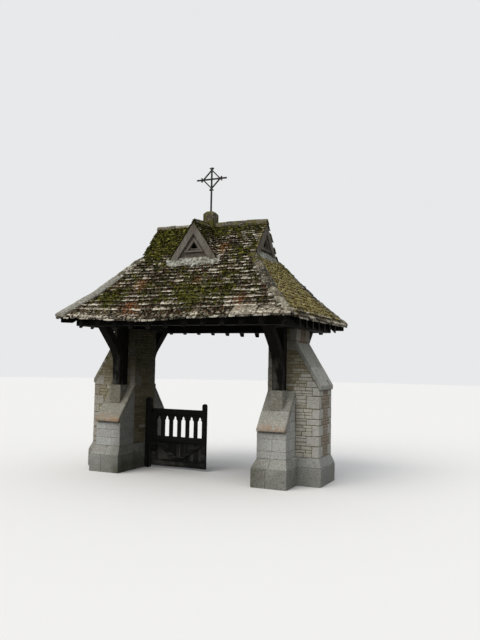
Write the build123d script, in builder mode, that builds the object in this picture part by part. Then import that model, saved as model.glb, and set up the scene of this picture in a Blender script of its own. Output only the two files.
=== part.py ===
from build123d import *
from math import atan2, cos, radians, sin, sqrt, tan
import os

# A lychgate: two buttressed stone piers carry an oak frame and a hipped stone-slate roof
# with four small gablets and an iron cross, over a pair of oak gates.
# X runs along the road, -Y faces the road, Z is up, and the origin is at ground level
# in the middle of the passage. All sizes are in millimetres.

# Piers
PASSAGE_WIDTH = 2440
PIER_WIDTH = 457
PIER_DEPTH = 640
PIER_HEIGHT = 2370

# Plinth round the foot of each pier
PLINTH_HEIGHT = 417
PLINTH_CHAMFER_HEIGHT = 141
PLINTH_FRONT = 110
PLINTH_SIDE = 55

# Front and rear buttresses, each topped by two sloping weathering stones
BUTTRESS_PROJECTION = 410
WEATHERING_TOP = 1415
WEATHERING_LIP_TOP = 852
WEATHERING_OVERHANG = 50
WEATHERING_LIP = 40
PAD_LEDGE = 15
PAD_MARGIN = 28.5

# Side buttress, flush with the pier's front and back
WING_PROJECTION = 373
WING_TOP_DROP = 330
WING_RISE = 610
COPING_THICKNESS = 60
COPING_OVERHANG = 30

# Wall posts and braces
POST_WIDTH = 153
POST_DEPTH = 140
BRACE_FOOT = 90
BRACE_BEND_DROP = 630
BRACE_BEND_RADIUS = 400
BRACE_ANGLE = 45
BRACE_DEPTH = 130

# Beams and wall plates
BEAM_WIDTH = 150
BEAM_DEPTH = 150
PLATE_WIDTH = 150
PLATE_DEPTH = 190
PLATE_PROJECTION = 930
END_PLATE_REACH = 93

# Roof: the covering's upper face is set by the eaves, the flatter foot and two pitches
EAVE_OVERHANG = 240
FOOT_RUN = 400
FOOT_PITCH = 41
ROOF_PITCH = 49.5
COVERING = 75
END_GABLET_HALF = 526
APRON_TONGUE = 46

# Rafters
RAFTER_WIDTH = 75
RAFTER_DEPTH = 125
RAFTER_BAYS = 3
RAFTER_FOOT_INSET = 70
BIRDSMOUTH = 42
HIP_WIDTH = 60
HIP_DEPTH = 150
RIDGE_BOARD_WIDTH = 40
RIDGE_BOARD_DEPTH = 200
TRIMMER_WIDTH = 40
TRIMMER_DEPTH = 175

# Gablets in the long slopes and at the ends of the ridge
GABLET_FACE = 571
GABLET_PITCH = 56
GABLET_VERGE = 50
PANEL_THICKNESS = 40
VENT_WIDTH = 176
VENT_HEIGHT = 132
VENT_SILL = 180
BARGEBOARD_THICKNESS = 30
BARGEBOARD_DEPTH = 110
BARGEBOARD_INSET = 6
BARGEBOARD_JOINT = 1
APRON_THICKNESS = 14
APRON_REACH = 130
APRON_SIDE_LAP = 30
VALLEY_START = 5

# Ridge stones, hip cappings and finial
RIDGE_STONE_LEG = 130
RIDGE_STONE_THICKNESS = 32
HIP_CAPPING_WIDTH = 170
HIP_CAPPING_THICKNESS = 26
FINIAL_SIZE = 200
FINIAL_HEIGHT = 211
FINIAL_SLOPE = 45

# Iron cross
CROSS_BAR = 24
CROSS_NECK = 406
CROSS_TIP = 44
CROSS_ARM_END = 122
DIAMOND_HALF = 160
DIAMOND_OVERSHOOT = 50
DIAMOND_BAR = 18

# Gates
GATE_POST = 92
GATE_POST_HEAD = 190
GATE_POST_CAP = 30
GATE_THICKNESS = 55
GATE_GROUND_GAP = 40
GATE_MEETING_GAP = 10
GATE_TOP = 1010
STILE_HEAD = 110
HANGING_STILE = 80
LATCH_STILE = 77
TOP_RAIL = 85
MID_RAIL_TOP = 533
MID_RAIL = 80
BOTTOM_RAIL = 110
TRACERY_THICKNESS = 25
OPENING_COUNT = 6
OPENING_WIDTH = 96
OPENING_HEAD = 20
OPENING_RISE = 105
BOARD_COUNT = 6
BOARD_GAP = 3
BOARD_THICKNESS = 20
BOARD_INSET = 8
BRACE_INSET = 5
GATE_BRACE_WIDTH = 62
OPEN_ANGLE = 90

# Gate ironwork
PIN_RADIUS = 8
PIN_CLEARANCE = 0.08
EYE_RADIUS = 14
STRAP_THICKNESS = 6
STRAP_WIDTH = 40
STRAP_LENGTH = 470
STRAP_TAPER = 0.6
HINGE_SIDE_GAP = 14
STRAP_LAP = 4
LEAF_HINGE_GAP = 10
EYE_GAP = 1.5
PINTLE_PLATE_WIDTH = 62
PINTLE_PLATE_HEIGHT = 90
PINTLE_ARM = 14
PIN_STAND = 8

SIDES = {"left": -1, "right": 1}
FACES = {"front": -1, "rear": 1}

# Places worked out from the driving sizes
PIER_IN = PASSAGE_WIDTH / 2
PIER_OUT = PIER_IN + PIER_WIDTH
PIER_FACE = PIER_DEPTH / 2
PIER_MIDDLE = PIER_IN + PIER_WIDTH / 2
BUTTRESS_FACE = PIER_FACE + BUTTRESS_PROJECTION
LIP_FACE = BUTTRESS_FACE + WEATHERING_OVERHANG
WING_FACE = PIER_OUT + WING_PROJECTION
WEATHERING_SLOPE = (WEATHERING_TOP - WEATHERING_LIP_TOP) / (LIP_FACE - PIER_FACE)
STONE_JOINT = PIER_FACE + POST_DEPTH + BRACE_FOOT + PAD_LEDGE
PAD_WIDTH = POST_WIDTH + 2 * PAD_MARGIN
WING_TOP = PIER_HEIGHT - WING_TOP_DROP
WING_HEIGHT = WING_TOP - WING_RISE
BRACE_BEND_HEIGHT = PIER_HEIGHT - BRACE_BEND_DROP
LIP_BOTTOM = WEATHERING_LIP_TOP - WEATHERING_LIP
BEAM_TOP = PIER_HEIGHT + BEAM_DEPTH
PLATE_TOP = PIER_HEIGHT + PLATE_DEPTH
PLATE_LINE = PIER_FACE + PLATE_PROJECTION
PLATE_INNER = PLATE_LINE - PLATE_WIDTH
END_PLATE_LINE = PIER_OUT + END_PLATE_REACH
END_PLATE_INNER = END_PLATE_LINE - PLATE_WIDTH
FOOT_SLOPE = tan(radians(FOOT_PITCH))
ROOF_SLOPE = tan(radians(ROOF_PITCH))
EAVE_X = END_PLATE_LINE + EAVE_OVERHANG
EAVE_Y = PLATE_LINE + EAVE_OVERHANG
RAFTER_SEAT = PLATE_TOP - BIRDSMOUTH - EAVE_OVERHANG * FOOT_SLOPE
EAVE_TOP = RAFTER_SEAT + RAFTER_DEPTH * sqrt(1 + FOOT_SLOPE**2) + COVERING
FOOT_TOP = EAVE_TOP + FOOT_RUN * FOOT_SLOPE
RIDGE_TOP = FOOT_TOP + (EAVE_Y - FOOT_RUN) * ROOF_SLOPE
HIP_OFFSET = EAVE_X - EAVE_Y
RIDGE_HALF_LENGTH = HIP_OFFSET + END_GABLET_HALF
GABLE_WALL = RIDGE_HALF_LENGTH - APRON_TONGUE
RAFTER_SPACING = (GABLE_WALL - TRIMMER_WIDTH - RAFTER_WIDTH / 2) / RAFTER_BAYS
GABLET_SLOPE = tan(radians(GABLET_PITCH))
GABLET_COVERING = COVERING - VALLEY_START * GABLET_SLOPE
GABLET_HALF = GABLET_FACE * ROOF_SLOPE / GABLET_SLOPE
GABLET_BASE = RIDGE_TOP - GABLET_FACE * ROOF_SLOPE
GABLET_FRONT = GABLET_FACE + GABLET_VERGE
UNDERSIDE = RIDGE_TOP - COVERING
HIGH = 2 * RIDGE_TOP
FINIAL_TOP = RIDGE_TOP + FINIAL_HEIGHT
CROSS_ARM_HEIGHT = FINIAL_TOP + CROSS_NECK + DIAMOND_HALF
CROSS_TOP = CROSS_ARM_HEIGHT + DIAMOND_HALF + CROSS_TIP
CROSS_HALF_ARM = DIAMOND_HALF + CROSS_ARM_END
STILE_TOP = GATE_TOP + STILE_HEAD
GATE_POST_HEIGHT = GATE_TOP + GATE_POST_HEAD
OPENING_APEX = GATE_TOP - TOP_RAIL - OPENING_HEAD
OPENING_SPRING = OPENING_APEX - OPENING_RISE
HINGE_REAR_GAP = EYE_RADIUS + STRAP_THICKNESS - STRAP_LAP
POST_FACE = PIER_IN - PLINTH_SIDE - GATE_POST
HINGE_X = POST_FACE - HINGE_SIDE_GAP
HINGE_Y = GATE_POST / 2 + HINGE_REAR_GAP
LEAF_END = HINGE_X - GATE_MEETING_GAP / 2
STILE_INNER = LEAF_HINGE_GAP + HANGING_STILE
LATCH_INNER = LEAF_END - LATCH_STILE
BOTTOM_RAIL_TOP = GATE_GROUND_GAP + BOTTOM_RAIL
HINGE_HEIGHTS = (GATE_GROUND_GAP + BOTTOM_RAIL / 2, GATE_TOP - TOP_RAIL / 2)


def roof_height(distance):
    """Height of the covering's upper face at a plan distance in from the eave."""
    if distance <= FOOT_RUN:
        return EAVE_TOP + distance * FOOT_SLOPE
    return FOOT_TOP + (distance - FOOT_RUN) * ROOF_SLOPE


def prism(plane, points, amount, mode=Mode.ADD, both=False):
    """Extrudes the closed outline through the points, drawn on the plane."""
    with BuildSketch(plane) as profile:
        with BuildLine():
            Polyline(*points, close=True)
        make_face()
    extrude(profile.sketch, amount=amount, both=both, mode=mode)


def block(low, high, mode=Mode.ADD):
    """Adds a square-cornered block between its lowest and highest corners."""
    corners = [(low[0], low[1]), (high[0], low[1]), (high[0], high[1]), (low[0], high[1])]
    prism(Plane.XY.offset(low[2]), corners, high[2] - low[2], mode)


def span(a, b):
    """The two values in rising order."""
    return min(a, b), max(a, b)


def box_at(x, y, z, mode=Mode.ADD):
    """A block from its three spans, each given either way round."""
    (x0, x1), (y0, y1), (z0, z1) = span(*x), span(*y), span(*z)
    block((x0, y0, z0), (x1, y1, z1), mode)


def save(part, name):
    part.label = name
    export_step(part, f"parts/{name}.step")


os.makedirs("parts", exist_ok=True)


# Masonry

def pier_outline(side, grow_side, grow_front):
    """Plan of a pier with its three buttresses, grown outwards by the two amounts."""
    x_in = PIER_IN - grow_side
    x_out = PIER_OUT + grow_side
    x_wing = WING_FACE + grow_side
    y_front = BUTTRESS_FACE + grow_front
    y_wing = PIER_FACE + grow_side
    half = [(x_in, y_front), (x_out, y_front), (x_out, y_wing), (x_wing, y_wing)]
    outline = half + [(x, -y) for x, y in reversed(half)]
    return [(side * x, y) for x, y in outline]


def plinth(side):
    chamfer_foot = PLINTH_HEIGHT - PLINTH_CHAMFER_HEIGHT
    wide = pier_outline(side, PLINTH_SIDE, PLINTH_FRONT)
    narrow = pier_outline(side, 0, 0)
    with BuildPart() as plinth:
        prism(Plane.XY, wide, chamfer_foot)
        with BuildSketch(Plane.XY.offset(chamfer_foot)) as lower:
            with BuildLine():
                Polyline(*wide, close=True)
            make_face()
        with BuildSketch(Plane.XY.offset(PLINTH_HEIGHT)) as upper:
            with BuildLine():
                Polyline(*narrow, close=True)
            make_face()
        loft([lower.sketch, upper.sketch], ruled=True)
    return plinth.part


def pier(side):
    """The pier's shaft and its side buttress, as one mass of walling."""
    outline = [
        (side * PIER_IN, PLINTH_HEIGHT),
        (side * WING_FACE, PLINTH_HEIGHT),
        (side * WING_FACE, WING_HEIGHT),
        (side * PIER_OUT, WING_TOP),
        (side * PIER_OUT, PIER_HEIGHT),
        (side * PIER_IN, PIER_HEIGHT),
    ]
    with BuildPart() as pier:
        prism(Plane.XZ, outline, PIER_FACE, both=True)
    return pier.part


def side_coping(side):
    """The sloping cap of the side buttress, with a lip past its outer face."""
    slope = (WING_TOP - WING_HEIGHT) / WING_PROJECTION
    lift = COPING_THICKNESS * sqrt(1 + slope * slope)
    outer = WING_FACE + COPING_OVERHANG
    low = WING_HEIGHT - COPING_OVERHANG * slope
    outline = [
        (side * PIER_OUT, WING_TOP),
        (side * WING_FACE, WING_HEIGHT),
        (side * outer, WING_HEIGHT),
        (side * outer, low + lift),
        (side * PIER_OUT, WING_TOP + lift),
    ]
    with BuildPart() as coping:
        prism(Plane.XZ, outline, PIER_FACE, both=True)
    return coping.part


def weathering_height(distance):
    """Height of a weathering's upper face at a distance from the pier's centre plane."""
    return WEATHERING_TOP - (distance - PIER_FACE) * WEATHERING_SLOPE


def weathering_bed(distance):
    """Height of the bed that a weathering stone lies on."""
    return LIP_BOTTOM + (BUTTRESS_FACE - distance) * WEATHERING_SLOPE


def buttress(side, face):
    outline = [
        (face * PIER_FACE, PLINTH_HEIGHT),
        (face * BUTTRESS_FACE, PLINTH_HEIGHT),
        (face * BUTTRESS_FACE, LIP_BOTTOM),
        (face * PIER_FACE, weathering_bed(PIER_FACE)),
    ]
    with BuildPart() as buttress:
        prism(Plane.YZ.offset(side * PIER_MIDDLE), outline, PIER_WIDTH / 2, both=True)
    return buttress.part


def weathering_stones(inner, outer, has_lip):
    """The four like weathering stones between two distances from the centre plane."""
    outline = [
        (inner, weathering_bed(inner)),
        (inner, weathering_height(inner)),
        (outer, weathering_height(outer)),
        (outer, LIP_BOTTOM if has_lip else weathering_bed(outer)),
    ]
    if has_lip:
        outline.append((BUTTRESS_FACE, LIP_BOTTOM))
    with BuildPart() as stones:
        for side in SIDES.values():
            for face in FACES.values():
                points = [(face * y, z) for y, z in outline]
                prism(Plane.YZ.offset(side * PIER_MIDDLE), points, PIER_WIDTH / 2, both=True)
    return stones.part


def pad_stones():
    """Wedge blocks that give the timbers a level seat on the sloping weatherings."""
    outline = [
        (PIER_FACE, WEATHERING_TOP),
        (STONE_JOINT, WEATHERING_TOP),
        (STONE_JOINT, weathering_height(STONE_JOINT)),
    ]
    with BuildPart() as pads:
        for side in SIDES.values():
            for face in FACES.values():
                points = [(face * y, z) for y, z in outline]
                prism(Plane.YZ.offset(side * PIER_MIDDLE), points, PAD_WIDTH / 2, both=True)
    return pads.part


for name, side in SIDES.items():
    save(plinth(side), f"{name}_plinth")
    save(pier(side), f"{name}_pier")
    save(side_coping(side), f"{name}_coping")
    for face_name, face in FACES.items():
        save(buttress(side, face), f"{name}_{face_name}_buttress")
save(weathering_stones(STONE_JOINT, LIP_FACE, True), "lower_weatherings")
save(weathering_stones(PIER_FACE, STONE_JOINT, False), "upper_weatherings")
save(pad_stones(), "pad_stones")


# Oak frame

def wall_posts():
    with BuildPart() as posts:
        for side in SIDES.values():
            x = side * PIER_MIDDLE
            for face in FACES.values():
                box_at(
                    (x - POST_WIDTH / 2, x + POST_WIDTH / 2),
                    (face * PIER_FACE, face * (PIER_FACE + POST_DEPTH)),
                    (WEATHERING_TOP, PIER_HEIGHT),
                )
    return posts.part


def braces(face):
    """Two braces that rise beside the posts and curve out to carry the beams."""
    inner = PIER_FACE + POST_DEPTH
    outer = inner + BRACE_FOOT
    lean = radians(BRACE_ANGLE)
    bend_out = BRACE_BEND_RADIUS * (1 - cos(lean))
    bend_up = BRACE_BEND_RADIUS * sin(lean)
    bend_end = (outer + bend_out, BRACE_BEND_HEIGHT + bend_up)
    half_turn = lean / 2
    bend_middle = (
        outer + BRACE_BEND_RADIUS * (1 - cos(half_turn)),
        BRACE_BEND_HEIGHT + BRACE_BEND_RADIUS * sin(half_turn),
    )
    head_outer = (bend_end[0] + (PIER_HEIGHT - bend_end[1]) * tan(lean), PIER_HEIGHT)
    head_inner = (head_outer[0] - BRACE_DEPTH / cos(lean), PIER_HEIGHT)
    crotch = (inner, PIER_HEIGHT - (head_inner[0] - inner) / tan(lean))
    with BuildPart() as braces:
        for side in SIDES.values():
            plane = Plane.YZ.offset(side * PIER_MIDDLE)
            with BuildSketch(plane) as profile:
                with BuildLine():
                    start = (face * outer, BRACE_BEND_HEIGHT)
                    end = (face * bend_end[0], bend_end[1])
                    ThreePointArc(start, (face * bend_middle[0], bend_middle[1]), end)
                    Polyline(
                        end,
                        (face * head_outer[0], head_outer[1]),
                        (face * head_inner[0], head_inner[1]),
                        (face * crotch[0], crotch[1]),
                        (face * inner, WEATHERING_TOP),
                        (face * outer, WEATHERING_TOP),
                        start,
                    )
                make_face()
            extrude(amount=POST_WIDTH / 2, both=True)
    return braces.part


def side_beams():
    with BuildPart() as beams:
        for side in SIDES.values():
            x = side * PIER_MIDDLE
            box_at(
                (x - BEAM_WIDTH / 2, x + BEAM_WIDTH / 2),
                (-PLATE_INNER, PLATE_INNER),
                (PIER_HEIGHT, BEAM_TOP),
            )
    return beams.part


def long_plates():
    with BuildPart() as plates:
        for face in FACES.values():
            box_at(
                (-END_PLATE_LINE, END_PLATE_LINE),
                (face * PLATE_INNER, face * PLATE_LINE),
                (PIER_HEIGHT, PLATE_TOP),
            )
    return plates.part


def end_plates():
    with BuildPart() as plates:
        for side in SIDES.values():
            box_at(
                (side * END_PLATE_INNER, side * END_PLATE_LINE),
                (-PLATE_INNER, PLATE_INNER),
                (PIER_HEIGHT, PLATE_TOP),
            )
    return plates.part


def rafter_outline(eave, head, depth, drop=0):
    """Side view of a rafter: distance from the centre plane against height."""
    foot = eave - RAFTER_FOOT_INSET
    knee = eave - FOOT_RUN
    foot_lift = depth * sqrt(1 + FOOT_SLOPE**2)
    upper_lift = depth * sqrt(1 + ROOF_SLOPE**2)
    top = [(d, roof_height(eave - d) - COVERING - drop) for d in (foot, knee, head)]
    bottom_knee = (foot_lift - upper_lift) / (ROOF_SLOPE - FOOT_SLOPE)
    bottom = [
        (head, top[2][1] - upper_lift),
        (knee - bottom_knee, top[1][1] + bottom_knee * FOOT_SLOPE - foot_lift),
        (foot, top[0][1] - foot_lift),
    ]
    return top + bottom


def seat_on_plates():
    """Cuts the birdsmouths where the rafters sit on the plates."""
    for side in (-1, 1):
        box_at(
            (-END_PLATE_LINE, END_PLATE_LINE),
            (side * PLATE_INNER, side * PLATE_LINE),
            (PIER_HEIGHT, PLATE_TOP),
            Mode.SUBTRACT,
        )
        box_at(
            (side * END_PLATE_INNER, side * END_PLATE_LINE),
            (-PLATE_INNER, PLATE_INNER),
            (PIER_HEIGHT, PLATE_TOP),
            Mode.SUBTRACT,
        )


def spaced(half_length):
    """Rafter centres either side of the middle, out to the half length."""
    count = int(half_length // RAFTER_SPACING)
    return [i * RAFTER_SPACING for i in range(-count, count + 1)]


def long_rafters(face):
    """Common rafters to the ridge board, and jack rafters to the hips."""
    last_common = GABLE_WALL - TRIMMER_WIDTH
    hip_gap = HIP_OFFSET - HIP_WIDTH / 2 * sqrt(2)
    head = RIDGE_BOARD_WIDTH / 2
    outline = [(face * y, z) for y, z in rafter_outline(EAVE_Y, head, RAFTER_DEPTH)]
    half_plan = [
        (last_common, head),
        (last_common, last_common - hip_gap),
        (EAVE_Y + hip_gap, EAVE_Y),
    ]
    plan = half_plan + [(-x, y) for x, y in reversed(half_plan)]
    with BuildPart() as rafters:
        for x in spaced(END_PLATE_LINE - RAFTER_WIDTH):
            prism(Plane.YZ.offset(x), outline, RAFTER_WIDTH / 2, both=True)
        prism(Plane.XY, [(x, face * y) for x, y in plan], HIGH, Mode.INTERSECT)
        seat_on_plates()
    return rafters.part


def end_rafters():
    hip_gap = HIP_OFFSET + HIP_WIDTH / 2 * sqrt(2)
    with BuildPart() as rafters:
        for side in SIDES.values():
            outline = [(side * x, z) for x, z in rafter_outline(EAVE_X, GABLE_WALL, RAFTER_DEPTH)]
            for y in spaced(PLATE_INNER):
                prism(Plane.XZ.offset(y), outline, RAFTER_WIDTH / 2, both=True)
        reach = EAVE_X - hip_gap
        bow_tie = [(hip_gap, 0), (EAVE_X, -reach), (EAVE_X, reach)]
        with BuildSketch() as plan:
            for side in SIDES.values():
                with BuildLine():
                    Polyline(*[(side * x, y) for x, y in bow_tie], close=True)
                make_face()
        extrude(plan.sketch, amount=HIGH, mode=Mode.INTERSECT)
        seat_on_plates()
    return rafters.part


def hip_rafters():
    """One rafter on the plan diagonal at each corner, its top lowered to clear the slopes."""
    drop = HIP_WIDTH / 2 / sqrt(2) * ROOF_SLOPE
    head = GABLE_WALL - HIP_OFFSET
    outline = [(y * sqrt(2), z) for y, z in rafter_outline(EAVE_Y, head, HIP_DEPTH, drop)]
    with BuildPart() as hips:
        for side in SIDES.values():
            for face in FACES.values():
                diagonal = Plane(
                    origin=(side * HIP_OFFSET, 0, 0),
                    x_dir=(side, face, 0),
                    z_dir=(face, -side, 0),
                )
                prism(diagonal, outline, HIP_WIDTH / 2, both=True)
        box_at((-GABLE_WALL, GABLE_WALL), (-EAVE_Y, EAVE_Y), (0, HIGH), Mode.SUBTRACT)
        seat_on_plates()
    return hips.part


def ridge_board():
    top = UNDERSIDE - RIDGE_BOARD_WIDTH / 2 * ROOF_SLOPE
    reach = GABLE_WALL - TRIMMER_WIDTH
    half = RIDGE_BOARD_WIDTH / 2
    with BuildPart() as board:
        block((-reach, -half, top - RIDGE_BOARD_DEPTH), (reach, half, top))
    return board.part


def gable_sill():
    """Height of the end gablets' sill, where the end slopes' boards meet the wall."""
    return roof_height(EAVE_X - GABLE_WALL) - COVERING


def end_trimmers():
    """Cross members that carry the heads of the hips and end rafters."""
    top = gable_sill()
    edge = GABLE_WALL - HIP_OFFSET + HIP_WIDTH / 2 * sqrt(2)
    half = [
        ((UNDERSIDE - top) / ROOF_SLOPE, top),
        (edge, UNDERSIDE - edge * ROOF_SLOPE),
        (edge, top - TRIMMER_DEPTH),
    ]
    outline = half + [(-y, z) for y, z in reversed(half)]
    with BuildPart() as trimmers:
        for side in SIDES.values():
            start = Plane.YZ.offset(side * (GABLE_WALL - TRIMMER_WIDTH))
            prism(start, outline, side * TRIMMER_WIDTH)
    return trimmers.part


for name, face in FACES.items():
    save(braces(face), f"{name}_braces")
    save(long_rafters(face), f"{name}_rafters")
save(wall_posts(), "wall_posts")
save(side_beams(), "side_beams")
save(long_plates(), "long_plates")
save(end_plates(), "end_plates")
save(end_rafters(), "end_rafters")
save(hip_rafters(), "hip_rafters")
save(ridge_board(), "ridge_board")
save(end_trimmers(), "end_trimmers")


# Roof covering

def mirrored(half):
    """The outline made by a half outline and its mirror image across the second axis."""
    return half + [(-a, b) for a, b in reversed(half)]


def covering_outline(eave, head):
    """Section of a covering, as distance from the centre plane against height."""
    top = [(d, roof_height(eave - d)) for d in (eave, eave - FOOT_RUN, head)]
    return top + [(d, z - COVERING) for d, z in reversed(top)]


def long_slope(face):
    plan = [
        (-EAVE_X, EAVE_Y),
        (EAVE_X, EAVE_Y),
        (RIDGE_HALF_LENGTH, RIDGE_HALF_LENGTH - HIP_OFFSET),
        (RIDGE_HALF_LENGTH, 0),
        (-RIDGE_HALF_LENGTH, 0),
        (-RIDGE_HALF_LENGTH, RIDGE_HALF_LENGTH - HIP_OFFSET),
    ]
    hole = [(-VALLEY_START, 0), (VALLEY_START, 0), (GABLET_HALF, GABLET_FACE)]
    hole.append((-GABLET_HALF, GABLET_FACE))
    section = [(face * y, z) for y, z in covering_outline(EAVE_Y, 0)]
    with BuildPart() as slope:
        prism(Plane.YZ, section, EAVE_X, both=True)
        prism(Plane.XY, [(x, face * y) for x, y in plan], HIGH, Mode.INTERSECT)
        prism(Plane.XY, [(x, face * y) for x, y in hole], HIGH, Mode.SUBTRACT)
    return slope.part


def tongue_half_width():
    """How far the end slope can run in under the long slopes' overhang."""
    return GABLE_WALL - HIP_OFFSET - COVERING / ROOF_SLOPE


def end_slope(side):
    """An end slope, with a tongue that runs in to the gablet's wall."""
    verge = RIDGE_HALF_LENGTH
    tongue = tongue_half_width()
    half = [(EAVE_Y, EAVE_X), (verge - HIP_OFFSET, verge), (tongue, verge), (tongue, GABLE_WALL)]
    section = [(side * x, z) for x, z in covering_outline(EAVE_X, GABLE_WALL)]
    with BuildPart() as slope:
        prism(Plane.XZ, section, EAVE_Y, both=True)
        plan = [(side * x, y) for y, x in mirrored(half)]
        prism(Plane.XY, plan, HIGH, Mode.INTERSECT)
    return slope.part


def clear_of_long_slope(face, lift):
    """Trims what stands on a long slope in front of the gablet to the slope's face."""
    far = GABLET_FACE + 2 * APRON_REACH
    outline = [
        (face * GABLET_FACE, GABLET_BASE + lift),
        (face * far, RIDGE_TOP - far * ROOF_SLOPE + lift),
        (face * far, PIER_HEIGHT),
        (face * GABLET_FACE, PIER_HEIGHT),
    ]
    prism(Plane.YZ, outline, EAVE_X, Mode.SUBTRACT, both=True)


def gablet_roof(face):
    """The two small slopes of a front or rear gablet, mitred into the long slope."""
    top = [(GABLET_HALF, GABLET_BASE), (0, RIDGE_TOP), (-GABLET_HALF, GABLET_BASE)]
    section = top + [(x, z - GABLET_COVERING) for x, z in reversed(top)]
    half_plan = [(VALLEY_START, 0), (GABLET_HALF, GABLET_FACE), (GABLET_HALF, GABLET_FRONT)]
    plan = [(x, face * y) for x, y in mirrored(half_plan)]
    with BuildPart() as roof:
        prism(Plane.XZ, section, GABLET_FRONT, both=True)
        prism(Plane.XY, plan, HIGH, Mode.INTERSECT)
        clear_of_long_slope(face, APRON_THICKNESS)
    return roof.part


def vent(sill):
    """The small triangular vent above a gablet's sill."""
    base = sill + VENT_SILL
    return [(-VENT_WIDTH / 2, base), (VENT_WIDTH / 2, base), (0, base + VENT_HEIGHT)]


def gablet_panels():
    """The boarded triangles that close the four gablets, each with its vent."""
    inner = GABLET_FACE - PANEL_THICKNESS
    sill = roof_height(EAVE_Y - inner) - COVERING
    apex = RIDGE_TOP - GABLET_COVERING
    half = VALLEY_START + (GABLET_HALF - VALLEY_START) * inner / GABLET_FACE
    corner = [(half, sill), (half, apex - half * GABLET_SLOPE), (0, apex)]
    outline = corner + [(-x, z) for x, z in reversed(corner[:-1])]
    end_sill = gable_sill()
    end_half = (UNDERSIDE - end_sill) / ROOF_SLOPE
    with BuildPart() as panels:
        for face in FACES.values():
            plane = Plane.XZ.offset(-face * inner)
            prism(plane, outline, -face * PANEL_THICKNESS)
            prism(plane, vent(sill), -face * PANEL_THICKNESS, Mode.SUBTRACT)
        for side in SIDES.values():
            plane = Plane.YZ.offset(side * (GABLE_WALL - PANEL_THICKNESS))
            triangle = [(-end_half, end_sill), (end_half, end_sill), (0, UNDERSIDE)]
            prism(plane, triangle, side * PANEL_THICKNESS)
            prism(plane, vent(end_sill), side * PANEL_THICKNESS, Mode.SUBTRACT)
    return panels.part


def board_outline(apex, slope, half, hand):
    """One sloping bargeboard under a verge, from the joint at the apex to its foot."""
    drop = BARGEBOARD_DEPTH * sqrt(1 + slope * slope)
    joint = BARGEBOARD_JOINT / 2
    top = [(joint, apex - joint * slope), (half, apex - half * slope)]
    return [(hand * a, z) for a, z in top + [(a, z - drop) for a, z in reversed(top)]]


def cross_bargeboards():
    outer = GABLET_FRONT - BARGEBOARD_INSET
    inner = outer - BARGEBOARD_THICKNESS
    with BuildPart() as boards:
        for face in FACES.values():
            for hand in (-1, 1):
                outline = board_outline(
                    RIDGE_TOP - GABLET_COVERING, GABLET_SLOPE, GABLET_HALF, hand
                )
                prism(Plane.XZ.offset(-face * inner), outline, -face * BARGEBOARD_THICKNESS)
            clear_of_long_slope(face, APRON_THICKNESS)
    return boards.part


def end_bargeboards():
    outer = RIDGE_HALF_LENGTH - BARGEBOARD_INSET
    inner = outer - BARGEBOARD_THICKNESS
    half = GABLE_WALL - HIP_OFFSET
    lap = [
        (inner, roof_height(EAVE_X - inner) + APRON_THICKNESS),
        (outer, roof_height(EAVE_X - outer) + APRON_THICKNESS),
        (outer, PIER_HEIGHT),
        (inner, PIER_HEIGHT),
    ]
    with BuildPart() as boards:
        for side in SIDES.values():
            for hand in (-1, 1):
                outline = board_outline(UNDERSIDE, ROOF_SLOPE, half, hand)
                prism(Plane.YZ.offset(side * inner), outline, side * BARGEBOARD_THICKNESS)
            below = [(side * x, z) for x, z in lap]
            prism(Plane.XZ, below, half, Mode.SUBTRACT, both=True)
    return boards.part


def gablet_aprons():
    """Sheets dressed over the slates in front of each gablet's sill."""
    far = GABLET_FACE + APRON_REACH
    half = GABLET_HALF + APRON_SIDE_LAP
    end_far = GABLE_WALL + APRON_REACH
    end_half = tongue_half_width() - APRON_THICKNESS / ROOF_SLOPE
    with BuildPart() as aprons:
        for face in FACES.values():
            low = [(y, roof_height(EAVE_Y - y)) for y in (GABLET_FACE, far)]
            outline = low + [(y, z + APRON_THICKNESS) for y, z in reversed(low)]
            prism(Plane.YZ, [(face * y, z) for y, z in outline], half, both=True)
        for side in SIDES.values():
            low = [(x, roof_height(EAVE_X - x)) for x in (GABLE_WALL, end_far)]
            outline = low + [(x, z + APRON_THICKNESS) for x, z in reversed(low)]
            prism(Plane.XZ, [(side * x, z) for x, z in outline], end_half, both=True)
    return aprons.part


def ridge_stones():
    """Angular ridge stones along both ridges, stopping at the finial block."""
    start = FINIAL_SIZE / 2
    with BuildPart() as stones:
        for plane, slope, end in (
            (Plane.YZ, ROOF_SLOPE, RIDGE_HALF_LENGTH),
            (Plane.XZ, GABLET_SLOPE, GABLET_FRONT),
        ):
            lift = RIDGE_STONE_THICKNESS * sqrt(1 + slope * slope)
            leg = RIDGE_STONE_LEG / sqrt(1 + slope * slope)
            low = [(leg, RIDGE_TOP - leg * slope), (0, RIDGE_TOP), (-leg, RIDGE_TOP - leg * slope)]
            outline = low + [(a, z + lift) for a, z in reversed(low)]
            for hand in (-1, 1):
                prism(plane.offset(hand * start), outline, hand * (end - start))
    return stones.part


def roof_body(lift):
    """Everything under the hipped roof's upper face, raised by the lift."""
    end_height = roof_height(EAVE_X - RIDGE_HALF_LENGTH)
    half = [
        (EAVE_Y, 0),
        (EAVE_Y, EAVE_TOP + lift),
        (EAVE_Y - FOOT_RUN, FOOT_TOP + lift),
        (0, RIDGE_TOP + lift),
    ]
    end_half = [
        (EAVE_X, 0),
        (EAVE_X, EAVE_TOP + lift),
        (EAVE_X - FOOT_RUN, FOOT_TOP + lift),
        (RIDGE_HALF_LENGTH, end_height + lift),
        (RIDGE_HALF_LENGTH, HIGH),
    ]
    with BuildPart() as body:
        prism(Plane.YZ, half[:-1] + [(-y, z) for y, z in reversed(half)], EAVE_X, both=True)
        prism(Plane.XZ, mirrored(end_half), EAVE_Y, Mode.INTERSECT, both=True)
    return body.part


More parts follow.
